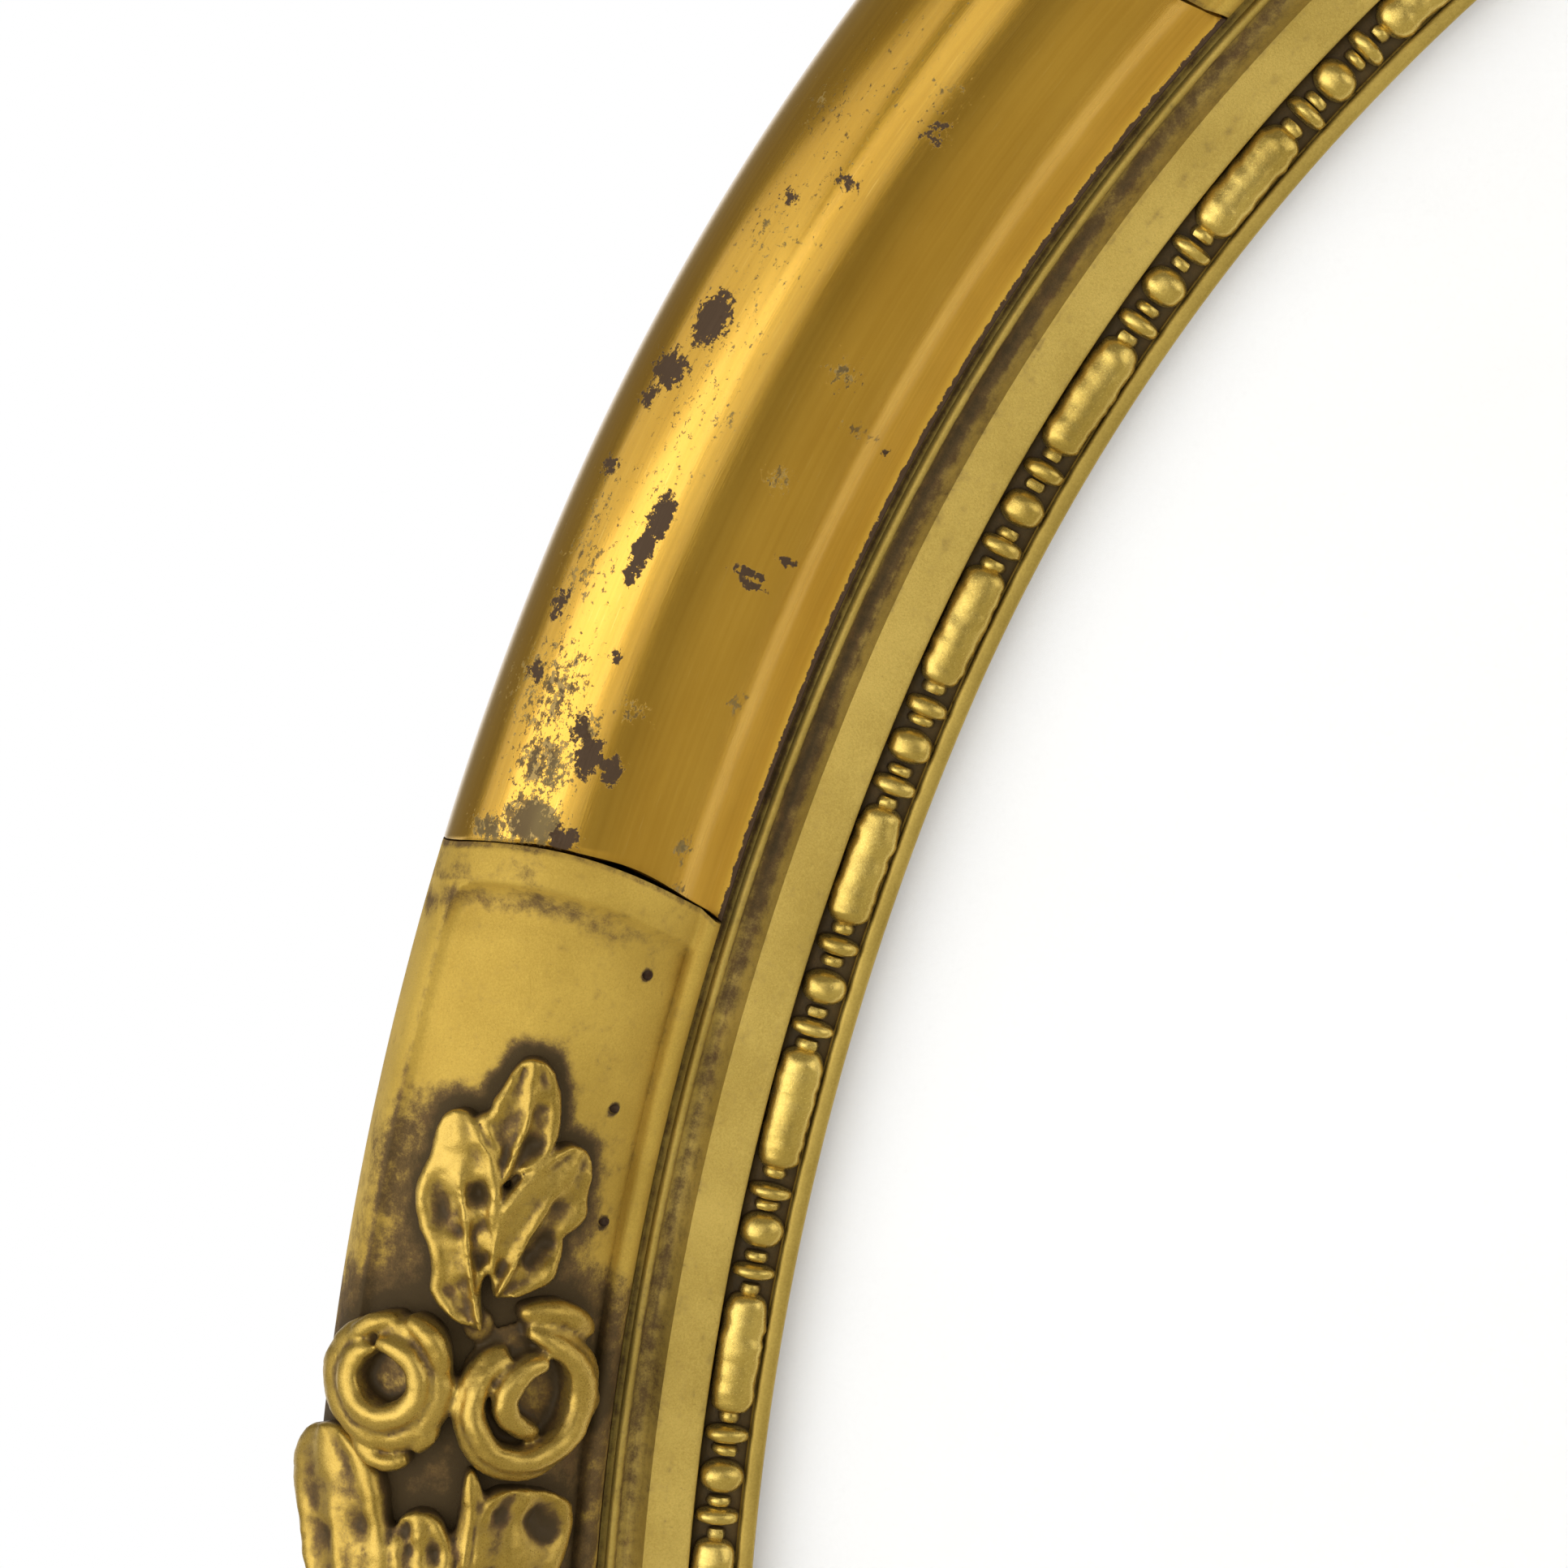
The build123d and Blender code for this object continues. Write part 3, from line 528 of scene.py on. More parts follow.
def moulding_section(inner_steps, outer_steps):
    """The half-round with its foot, as a loop of (out, height) points."""
    loop = [(bolster_inner, band_seat), (bolster_inner, 18.5), (bolster_inner, foot_height - 0.5)]
    loop += [(bolster_inner + 0.15, foot_height - 0.12)]
    loop += [(bolster_inner + 0.4 + step * 0.23, foot_height) for step in range(7)]
    for step in range(inner_steps):
        out = foot_outer + step * (crest_out - foot_outer) / inner_steps
        loop.append((out, bolster_height(out)))
    for step in range(outer_steps + 1):
        turn = radians(step * 90 / outer_steps)
        loop.append((crest_out + bolster_round * sin(turn), side_height + bolster_round * cos(turn)))
    return loop + [(64.9, 18.0), (64.6, 17.1), (64.1, 16.3), (63.3, 15.5), (62.0, 15.0), (45.0, 15.0)]


def seam_gap(out):
    """The joint has opened along the inner half."""
    return 0.30 + 0.75 * hump(out - 37.0, 7.5) + 0.35 * hump(out - 50.0, 4.0)


def bolster_shape(share, first, last, out, height):
    low, high = first + arch(out) + seam_gap(out), last - arch(out) - seam_gap(out)
    run = low + share * (high - low)
    end = min(run - low, high - run)
    if foot_height - 0.2 < height and out < crest_out:
        height += foot_fillet / 4 * max(0.0, 1 - abs(bolster_height(out) - foot_height) / foot_fillet) ** 2
    if height > side_height and end < 1.0:
        height -= 0.30 * (1 - end) ** 2
    height += 0.05 * noise.noise((run * 0.03, out * 0.08, 3.3)) if height > band_seat else 0.0
    return run, out, height


# The worst wear on the length that is known, as (angle from the side, out, half length, half width, strength).
# Chips go down to the bole and the ground, and rubs show the olive size under the leaf.
known_chips = ((30.1, 57.4, 5.2, 3.0, 1.0), (28.6, 59.4, 3.6, 3.2, 0.95), (27.8, 60.4, 2.0, 2.0, 0.8),
               (25.5, 51.4, 4.4, 2.2, 1.0), (24.6, 52.0, 4.4, 1.9, 1.0), (24.0, 52.2, 2.8, 1.5, 0.9),
               (25.1, 37.4, 0.9, 3.6, 0.95), (24.8, 36.2, 0.8, 3.0, 0.95), (25.7, 32.8, 0.9, 2.4, 0.95),
               (20.8, 48.4, 4.2, 2.4, 1.0), (20.7, 44.8, 3.0, 2.2, 0.95), (19.3, 48.0, 2.6, 2.8, 0.95),
               (21.2, 50.8, 2.8, 2.0, 0.85), (26.0, 61.0, 2.4, 2.0, 0.74), (34.4, 51.4, 2.0, 3.6, 0.68),
               (36.5, 45.2, 4.0, 3.2, 0.64), (33.4, 56.7, 2.0, 2.0, 0.74), (23.0, 60.0, 3.6, 1.9, 0.76),
               (29.2, 27.2, 0.9, 0.9, 0.9), (21.8, 59.6, 2.4, 2.0, 0.78), (22.6, 49.6, 1.8, 1.2, 0.78))
known_rubs = ((21.6, 56.5, 12.0, 7.5, 0.64), (20.4, 54.0, 7.0, 6.5, 0.76), (19.4, 53.0, 4.2, 5.0, 1.15),
              (19.0, 58.5, 3.0, 3.6, 0.92), (23.8, 58.5, 10.0, 5.0, 0.54), (21.2, 50.0, 4.0, 3.0, 0.74),
              (30.5, 37.7, 3.0, 3.6, 0.66), (29.4, 32.0, 1.4, 3.8, 0.70), (27.5, 39.0, 2.6, 3.0, 0.68),
              (21.8, 45.0, 2.6, 3.4, 0.66), (22.5, 31.6, 2.2, 1.8, 0.74), (19.7, 31.8, 2.6, 1.8, 0.76),
              (32.6, 57.4, 7.0, 5.0, 0.46), (28.2, 49.3, 4.0, 4.0, 0.46), (35.6, 59.0, 8.0, 5.0, 0.48),
              (25.0, 59.5, 9.0, 4.0, 0.46), (18.9, 30.4, 2.0, 1.6, 0.70), (37.3, 47.0, 6.0, 5.0, 0.46))


def seeded_wear(count, strength):
    """Places of wear for the lengths of which nothing is known."""
    return [(draw.uniform(19.5, 42.5), draw.uniform(46, 62) if draw.random() < 0.75 else draw.uniform(28, 45),
             draw.uniform(1.2, 4.5), draw.uniform(1.0, 3.4), strength * draw.uniform(0.65, 1.0))
            for step in range(count)]


def wear_at(places, foot_dirt):
    """Strength of wear from a list of places, with dirt along the foot."""
    laid = [(run_at(angle), out, length, width, strength) for angle, out, length, width, strength in places]

    def value(angle, out, height):
        side = angle % 180.0
        run = run_at(min(side, 180.0 - side))
        worn = max(strength * exp(-((run - place) / length) ** 2 - ((out - line) / width) ** 2)
                   for place, line, length, width, strength in laid)
        return max(worn, foot_dirt * exp(-((out - 23.0) / 0.9) ** 4))
    return value


def burnished_gilding():
    """Leaf over bole, burnished except at the foot, which the stone doesn't reach. Chips bare the bole."""
    material, start, shader = start_finish("burnished_gilding", {"Coat Roughness": 0.12, "Coat IOR": 1.5,
                                                                 "Specular IOR Level": 0.15})
    lay = start.node("ShaderNodeUVMap", {"uv_map": "lay"})
    chip_here = start.number("chip")
    rub_here = start.number("rub")
    streak = lay.stretch(0.012, 1.0, 1.0).cloud(1.3, 5.0, 0.65)
    brushed = lay.stretch(0.03, 1.0, 1.0).cloud(6.0, 3.0, 0.7)
    drift = lay.stretch(0.4, 1.0, 1.0).cloud(0.06, 4.0, 0.6)
    ragged = lay.cloud(0.75, 8.0, 0.74)
    flaked = lay.stretch(0.8, 1.0, 1.0).cloud(0.60, 8.0, 0.76)
    fine = lay.stretch(0.75, 1.0, 1.0).cloud(0.95, 8.0, 0.74)
    chip = (ragged + chip_here * 0.50).rise(0.785, 0.80)
    rub = (flaked + rub_here * 0.36).rise(0.74, 0.76)
    fleck = (fine + rub_here * 0.30).rise(0.70, 0.715)
    dot = lay.cloud(2.1, 4.0, 0.7).rise(0.70, 0.73)
    scratch = lay.stretch(0.015, 1.0, 1.0).cloud(7.0, 2.0).rise(0.70, 0.74)
    girth = lay.node("ShaderNodeSeparateXYZ", {}, {0: lay}, "Y")
    unburnished = 1.0 - (girth + streak * 2.0).rise(11.5, 19.0)
    gold = (streak * 0.5 + drift * 0.7).rise(0.30, 0.95).mix((0.58, 0.325, 0.036, 1), (0.76, 0.465, 0.072, 1))
    # The fine lengthwise scratches are real wear, drawn only as paler gold lines that stand for their glint, a
    # painted highlight.
    gold = (scratch * 0.4).mix(gold, (0.92, 0.70, 0.26, 1))
    worn = (rub * 0.80).mix(gold, drift.mix((0.235, 0.165, 0.060, 1), (0.30, 0.225, 0.095, 1)))
    worn = (fleck * 0.85).mix(worn, drift.rise(0.4, 0.6).mix((0.085, 0.052, 0.022, 1), (0.18, 0.13, 0.050, 1)))
    worn = (dot * 0.7).mix(worn, (0.17, 0.095, 0.028, 1))
    chip.mix(worn, brushed.mix((0.052, 0.031, 0.016, 1), (0.095, 0.056, 0.030, 1))).into(shader, "Base Color")
    bare = chip.sum("MAXIMUM", chip, rub.sum("MAXIMUM", rub * 0.60, fleck * 0.7))
    (1.0 - bare * 0.85 - dot * 0.3 - unburnished * 0.45).into(shader, "Metallic")
    (streak * 0.08 + brushed * 0.05 + rub * 0.25 + fleck * 0.2 + chip * 0.35 + unburnished * 0.28 + 0.125).into(
        shader, "Roughness")
    (0.45 - bare * 0.45 - unburnished * 0.40).into(shader, "Coat Weight")
    relief = brushed * 0.14 + streak * 0.10 - chip - rub * 0.4 - fleck * 0.4 - dot * 0.3
    relief.bump(shader, 0.35, 0.00020)
    return material


burnished = burnished_gilding()
outer_rub = (30.0, 54.5, 90.0, 8.5, 0.37)
bolster_loop = moulding_section(47, 40)
bolster_spans = {
    "upper_right": (side_half_angle, 90 - top_half_angle),
    "upper_left": (90 + top_half_angle, 180 - side_half_angle),
    "lower_left": (180 + side_half_angle, 270 - top_half_angle),
    "lower_right": (270 + top_half_angle, 360 - side_half_angle),
}
for name, (start, stop) in bolster_spans.items():
    chips = known_chips if name == "upper_left" else seeded_wear(16, 0.95)
    rubs = known_rubs if name == "upper_left" else seeded_wear(16, 0.85)
    bm = lay_length(bolster_loop, start, stop, 220, bolster_shape, 0.5)
    mark(bm, "chip", wear_at(chips, 0.9))
    mark(bm, "rub", wear_at([*rubs, outer_rub], 0.6))
    bolster = make_piece(f"burnished_{name}", bm, burnished)
    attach(bolster, "frame")
    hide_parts(f"bolster_{name}")


# Ornamented panels: matte-gilded lengths of the same half-round with arched ends.
# A round bead runs along the foot and a rounded border along the outside. Both ends have a raised band, and
# a hollow step leads down to the sunk field, where brads pin the panel to the core.
field_outer = 61.0
field_sink, field_shift = 2.2, 1.7
field_round = inner_round - field_sink
field_centre = crest_out - field_shift
bead_out, bead_half, bead_rise, bead_join = 24.85, 1.75, 2.7, 1.8
end_band, end_drop = 5.6, 0.55
end_hollow, end_round, end_fall = 0.9, 1.4, 0.45
field_drop = 0.7
border_crown, border_groove, bead_groove = 62.6, 61.1, 26.7
step_width = 3.0
brad_radius, brad_depth = 0.75, 1.6
brad_places = ((0.68, 28.8), (0.80, 30.8), (0.94, 31.1))
panels = {
    "right": (0.0, side_half_angle),
    "top": (90.0, top_half_angle),
    "left": (180.0, side_half_angle),
    "bottom": (270.0, top_half_angle),
}


def field_height(out):
    across = min(abs(out - field_centre), field_round * 0.97)
    return inner_centre + sqrt(field_round ** 2 - across ** 2)


def panel_shape(share, first, last, out, height):
    low, high = first - arch(out), last + arch(out)
    run = low + share * (high - low)
    end = min(run - low, high - run)
    if height < foot_height - 0.2:
        return run, out, height
    outside, inside = sorted((field_outer - out, end - end_band))
    near = outside - 0.35 * max(0.0, 2.5 - (inside - outside))
    down = 1 - (1 - held(near / step_width)) ** 2.4
    border = bolster_height(out) - end_drop * held((field_outer + 2.0 - out) / 4.0)
    border += 0.25 * hump(out - border_crown, 1.1) - 0.20 * hump(out - border_groove, 0.6) * (end > end_band)
    if end < end_round:
        border -= end_fall * (1 - end / end_round) ** 2
    crescent = end_hollow * hump(end - end_band - 4.0, 3.2)
    worked = border + (field_height(out) - field_drop * (end > end_band) - crescent - border) * down
    bead = foot_height + bead_rise * sqrt(max(0.0, 1 - ((out - bead_out) / bead_half) ** 2))
    worked = worked if out > foot_outer else foot_height
    join = bead_join / 4 * max(0.0, 1 - abs(worked - bead) / bead_join) ** 2
    worked = max(worked, bead) + join * (out > bead_out)
    worked += 0.10 * noise.noise((run * 0.07, out * 0.12, 8.2))
    worked += 0.05 * noise.noise((run * 0.5, out * 0.6, 2.2))
    return run, out, worked


def drill(panel, spots):
    """Drills the blind holes over the brads."""
    bits = bmesh.new()
    for spot in spots:
        bit = bmesh.ops.create_cone(bits, cap_ends=True, segments=20, radius1=brad_radius * 0.001,
                                    radius2=brad_radius * 0.001, depth=brad_depth * 0.002)["verts"]
        bmesh.ops.rotate(bits, verts=bit, matrix=Matrix.Rotation(radians(90), 3, "X"))
        bmesh.ops.translate(bits, verts=bit, vec=spot)
    bits = make_piece("bits", bits, panel.data.materials[0])
    cut = panel.modifiers.new("drill", "BOOLEAN")
    cut.operation, cut.solver, cut.object = "DIFFERENCE", "EXACT", bits
    bpy.context.view_layer.update()
    drilled = bpy.data.meshes.new_from_object(panel.evaluated_get(bpy.context.evaluated_depsgraph_get()))
    panel.modifiers.clear()
    panel.data = drilled
    bpy.data.objects.remove(bits)


panel_gold = matte_gilding("panel_gold", (0.63, 0.425, 0.082, 1), (0.46, 0.300, 0.050, 1), 0.44, 1.4, 0.8, 0.38)
panel_loop = moulding_section(70, 70)
panel_pieces = {}
panel_holes = {}
for name, (middle, half_angle) in panels.items():
    stations = 420 if name in ("top", "bottom") else 320
    bm = lay_length(panel_loop, middle - half_angle, middle + half_angle, stations, panel_shape, 0.45)
    panel = make_piece(f"gilt_panel_{name}", bm, panel_gold, 50.0)
    panel_holes[name] = [oval_spot(middle + side * share * half_angle, out, field_height(out) - field_drop)
                         for share, out in brad_places for side in (-1, 1)]
    drill(panel, panel_holes[name])
    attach(panel, "frame")
    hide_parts(f"panel_{name}")
    panel_pieces[name] = panel


# Cast ornament: composition pressed in moulds, glued on the fields and gilded with them.
# A spray of three lobed leaves rises from two rolled roses at each end of a panel, and broad leaves spread
# from a rose in its middle. The pieces are shaped flat on a bench, in mm from the panel's middle and from the
# sight edge, as they show from the front, and then bent onto the panels.
def curve_through(points, share):
    """Point on a smooth line through points."""
    last = len(points) - 1
    place = share * last
    step = min(int(place), last - 1)
    rest = place - step
    before, a, b, after = (Vector(points[min(max(step + shift, 0), last)]) for shift in (-1, 0, 1, 2))
    return 0.5 * (2 * a + (b - before) * rest + (2 * before - 5 * a + 4 * b - after) * rest ** 2
                  + (3 * a - before - 3 * b + after) * rest ** 3)


def heading(points, share):
    """Level direction to the left of a line through points."""
    ahead = curve_through(points, min(1.0, share + 0.015)) - curve_through(points, max(0.0, share - 0.015))
    return Vector((-ahead.y, ahead.x, 0)).normalized()


cast_foot = -2.0


def roll(bm, points, thick, taper=0.35):
    """A rolled edge of a petal: a wall of plaster with a round top along points (along, out, height)."""
    def spot(along, turn):
        centre = curve_through(points, along)
        swell = thick * (taper + (1 - taper) * max(0.0, sin(pi * along)) ** 0.5)
        swell *= (1 + 0.12 * noise.noise(centre * 0.3)) * max(0.0, 1 - abs(2 * along - 1) ** 24) ** 0.5
        up = sin(2 * pi * turn)
        rise = swell * up if up > 0 else (cast_foot - centre.z) * abs(up) ** 0.35
        return centre + heading(points, along) * swell * cos(2 * pi * turn) + Vector((0, 0, rise))

    skin(bm, 12 * len(points), 20, spot)


def ring(centre, first, last, start, stop, low, high, count=9):
    """Points on an arc of a petal, from one radius and height to another. Angles turn from the tip outwards."""
    points = []
    for step in range(count):
        share = step / (count - 1)
        turn, radius = radians(start + (stop - start) * share), first + (last - first) * share
        points.append((centre[0] + radius * cos(turn), centre[1] + radius * sin(turn),
                       low + (high - low) * share))
    return points


def leaf(bm, vein, left, right, thick, blunt, pits=(), swell=0.60):
    """A lobed leaf with a raised rim and vein. vein is a line of (along, out) points, left and right are the
    reach of its two sides at even steps along it, pits are hollows as (along, out, radius, depth), and swell is
    how far its surface rises and falls by hand."""
    line = [(x, out, 0) for x, out in vein]
    sides = {True: [(reach, 0, 0) for reach in left], False: [(reach, 0, 0) for reach in right]}

    def spot(along, turn):
        across = copysign(abs(cos(2 * pi * turn)) ** 0.8, cos(2 * pi * turn))
        up = sin(2 * pi * turn)
        width = max(0.1, curve_through(sides[across > 0], along).x)
        width *= max(0.0, 1 - along ** blunt) ** 0.5 * max(0.0, 1 - (1 - along) ** 24) ** 0.5
        place = curve_through(line, along) + heading(line, along) * width * across
        edge = abs(across)
        wave = noise.noise((place.x * 0.22, place.y * 0.22, thick))
        broad = min(1.0, width / 3.5) * (0.8 + 0.7 * noise.noise((place.x * 0.13, place.y * 0.13, thick + 4.0)))
        stem = max(0.0, 1 - (along / 0.8) ** 3)
        top = thick * (0.84 + 0.16 * (1 - edge ** 2)) * (0.74 + 0.26 * sin(pi * (0.15 + 0.7 * along)))
        top += 0.75 * broad * (hump(edge - 0.82, 0.17) - hump(edge - 0.42, 0.26))
        top += stem * (0.85 * hump(across * width, 0.45) - 0.45 * hump(edge * width - 1.2, 0.5))
        top += swell * wave
        for x, out, radius, depth in pits:
            top -= depth * exp(-((place.x - x) ** 2 + (place.y - out) ** 2) / radius ** 2)
        place.z = top * up ** 0.22 if up > 0 else cast_foot * abs(up) ** 0.35
        return place

    skin(bm, 64, 64, spot)


def dome(bm, centre, radius, height):
    """A low rounded ground that carries petals."""
    def spot(along, turn):
        reach = radius * sin(pi * along)
        rise = height if along < 0.5 else -cast_foot
        return Vector((centre[0] + reach * cos(2 * pi * turn), centre[1] + reach * sin(2 * pi * turn),
                       rise * cos(pi * along)))

    skin(bm, 24, 28, spot)


def spray():
    """The end ornament: a top leaf behind a left and a right one, over an outer and an inner rose."""
    bm = bmesh.new()
    leaf(bm, ((106.0, 43.6), (110.0, 43.0), (113.7, 42.3), (117.2, 42.2), (120.8, 42.6), (124.4, 43.3)),
         (0.7, 1.2, 3.0, 6.2, 7.4, 5.9, 5.7, 5.1, 4.3, 3.5, 2.6),
         (0.7, 1.8, 4.2, 5.2, 5.4, 5.3, 5.0, 4.7, 4.2, 3.5, 2.6),
         2.6, 12, ((117.2, 40.4, 1.2, 0.5), (109.4, 46.8, 1.3, 0.7), (112.2, 40.4, 1.2, 0.7)))
    leaf(bm, ((84.2, 43.0), (89.3, 44.9), (94.3, 46.4), (99.3, 47.8), (104.3, 49.6), (109.4, 51.2),
              (114.9, 52.6)),
         (0.6, 4.6, 6.6, 6.0, 6.3, 7.6, 7.6, 7.0, 5.0, 4.4, 3.2),
         (0.6, 0.9, 1.4, 3.0, 4.0, 4.9, 5.9, 6.3, 5.9, 4.1, 3.0),
         3.4, 12, ((103.7, 47.2, 1.6, 2.2), (97.6, 45.3, 1.4, 2.4), (94.8, 44.6, 1.3, 2.2),
                   (100.5, 51.9, 3.0, 1.2), (98.0, 49.0, 1.1, 0.8), (90.8, 46.8, 1.0, 0.6)))
    leaf(bm, ((89.2, 41.7), (93.2, 40.4), (97.0, 39.1), (100.8, 37.9), (104.5, 36.5), (108.3, 34.8),
              (112.6, 32.9)),
         (0.6, 2.0, 3.8, 5.0, 5.8, 6.2, 5.7, 5.4, 5.0, 4.3, 3.2),
         (1.6, 4.4, 6.6, 6.6, 6.2, 5.4, 6.2, 6.2, 4.9, 4.0, 3.0),
         3.3, 12, ((97.9, 35.5, 2.3, 2.6), (95.4, 37.6, 1.5, 1.8), (93.4, 41.4, 1.0, 0.9),
                   (103.6, 34.6, 1.6, 0.7)))
    dome(bm, (84.4, 43.3), 2.6, 1.5)
    dome(bm, (97.5, 43.4), 4.0, 2.4)
    # Outer rose: a thick round heart, a thin petal and a broad one above it, and a crescent with a bar below.
    dome(bm, (74.0, 55.5), 10.0, 1.2)
    roll(bm, ring((74.4, 55.5), 7.6, 7.6, 20, 380, 2.0, 2.0, 17), 2.5, 0.9)
    roll(bm, ring((74.9, 55.6), 4.9, 5.3, 25, 378, 4.2, 4.5, 17), 1.75, 0.55)
    roll(bm, ring((74.5, 55.9), 4.9, 4.9, 95, 285, 4.1, 4.1), 1.9)
    roll(bm, ring((74.7, 55.7), 6.0, 6.2, 40, 340, 2.4, 2.4, 15), 2.1, 0.7)
    roll(bm, ((78.2, 61.4, 3.0), (80.6, 60.2, 3.6), (82.8, 57.9, 3.7), (84.0, 55.2, 3.2)), 1.35)
    roll(bm, ((83.9, 53.8, 3.2), (83.4, 51.4, 3.7), (81.8, 49.3, 3.9), (79.0, 47.9, 3.5), (76.4, 47.5, 2.7)),
         1.8)
    roll(bm, ((77.0, 63.2, 1.8), (73.5, 64.0, 2.2), (70.0, 63.4, 2.0), (67.0, 61.2, 1.6)), 1.2)
    roll(bm, ((66.6, 60.0, 1.8), (64.3, 57.6, 2.6), (63.2, 54.4, 2.8), (64.2, 51.0, 2.6)), 1.6)
    roll(bm, ((65.6, 50.6, 2.4), (67.4, 48.9, 3.0), (69.6, 47.3, 2.6)), 1.35)
    # Inner rose: an open coil in a wide pit, inside one long roll, with worn petals beyond it.
    dome(bm, (74.8, 34.5), 11.0, 1.2)
    roll(bm, ((80.6, 33.2, 4.0), (79.3, 36.2, 4.3), (75.6, 38.2, 4.3), (72.5, 37.8, 4.1), (70.6, 35.8, 3.6),
              (69.2, 32.8, 2.6)), 1.75, 0.6)
    wide_roll = ((80.8, 37.8, 2.2), (78.4, 41.0, 3.0), (74.3, 42.5, 3.7), (70.5, 41.9, 4.1), (66.6, 38.9, 4.2),
                 (65.8, 33.8, 4.2), (69.2, 29.4, 4.3), (75.6, 28.2, 4.4), (80.4, 29.6, 4.3), (83.2, 32.6, 3.6),
                 (84.8, 36.0, 2.4))
    roll(bm, wide_roll, 1.8, 0.6)
    lower_roll = [(x + 0.13 * (x - 74.8), out + 0.13 * (out - 35.2), height * 0.55)
                  for x, out, height in wide_roll]
    roll(bm, lower_roll, 2.3, 0.6)
    roll(bm, ((87.0, 37.6, 1.0), (87.6, 32.6, 1.6), (86.4, 29.2, 1.8), (83.4, 26.6, 1.2)), 2.0)
    roll(bm, ((77.0, 25.6, 0.6), (72.4, 25.4, 1.2), (66.6, 27.4, 0.8)), 1.6)
    return bm


calm_swell = 0.22


def centre_ornament(reach):
    """The middle ornament: a rose among six broad leaves, the outer ones over the border. reach stretches the
    leaves along a longer panel."""
    def stretched(*points):
        return [(x * reach, *rest) for x, *rest in points]

    bm = bmesh.new()
    leaf(bm, stretched((4, 50), (20, 54), (36, 57.4), (48, 59.8), (58, 62.0), (66, 64.6)),
         (2.0, 4.2, 5.4, 5.0, 6.0, 5.4, 6.4, 6.4, 7.2, 6.6, 4.8),
         (2.0, 4.5, 6.5, 5.6, 7.0, 6.0, 7.8, 7.4, 7.4, 6.0, 4.2),
         4.2, 14, stretched((53.5, 57.2, 1.7, 1.1), (57.5, 62.6, 1.3, 0.5), (50.5, 62.2, 1.5, 0.9),
                            (43.0, 56.0, 1.6, 1.2)), calm_swell)
    leaf(bm, stretched((5, 44), (20, 44.6), (36, 46.0), (48, 47.6), (56.6, 49.2)),
         (1.5, 3.0, 4.0, 4.2, 4.4, 4.4, 4.6, 4.6, 4.4, 4.2, 3.4),
         (1.5, 3.0, 4.0, 4.2, 4.4, 4.6, 4.8, 4.8, 4.8, 4.6, 3.6),
         3.9, 16, stretched((53.6, 51.0, 1.3, 1.7), (51.0, 49.6, 1.2, 1.0), (50.8, 45.8, 1.5, 1.4)), calm_swell)
    leaf(bm, stretched((4, 37), (20, 36.6), (36, 35.6), (48, 34.4), (60.6, 32.8)),
         (1.5, 4.0, 5.0, 4.6, 5.6, 5.0, 6.0, 5.8, 6.8, 7.2, 6.6),
         (1.5, 4.0, 5.4, 5.0, 6.6, 6.0, 7.4, 6.8, 8.0, 8.4, 7.6),
         3.5, 20, stretched((55.6, 31.0, 2.4, 2.1), (53.4, 28.8, 1.8, 1.6), (56.6, 36.4, 1.6, 0.9),
                            (47.0, 37.4, 1.8, 1.0)), calm_swell)
    leaf(bm, stretched((48, 41.6), (56, 41.0), (63.4, 41.4)),
         (0.8, 1.6, 1.6, 1.3, 1.0), (0.8, 2.0, 2.2, 1.7, 1.0), 2.8, 10)
    mirrored = bmesh.ops.duplicate(bm, geom=bm.verts[:] + bm.edges[:] + bm.faces[:])["geom"]
    mirrored = [part for part in mirrored if isinstance(part, bmesh.types.BMVert)]
    bmesh.ops.scale(bm, vec=(-1, 1, 1), verts=mirrored)
    dome(bm, (0.0, 43.3), 12.0, 1.4)
    roll(bm, ring((0.0, 43.3), 5.0, 5.4, 20, 380, 4.6, 4.9, 17), 2.2, 0.6)
    for turn in (10, 130, 250):
        roll(bm, ring((0.0, 43.3), 9.4, 10.4, turn, turn + 112, 3.2, 3.4), 1.9)
    bmesh.ops.recalc_face_normals(bm, faces=bm.faces)
    return bm


spray_voxel, centre_voxel = 0.44, 0.56
spray_soiling, centre_soiling = 0.27, 0.42
cast_smooth_rounds = 2
hollow_rounds = 14


def soften(bm, rounds):
    for round_ in range(rounds):
        bmesh.ops.smooth_vert(bm, verts=bm.verts, factor=0.5, use_axis_x=True, use_axis_y=True, use_axis_z=True)


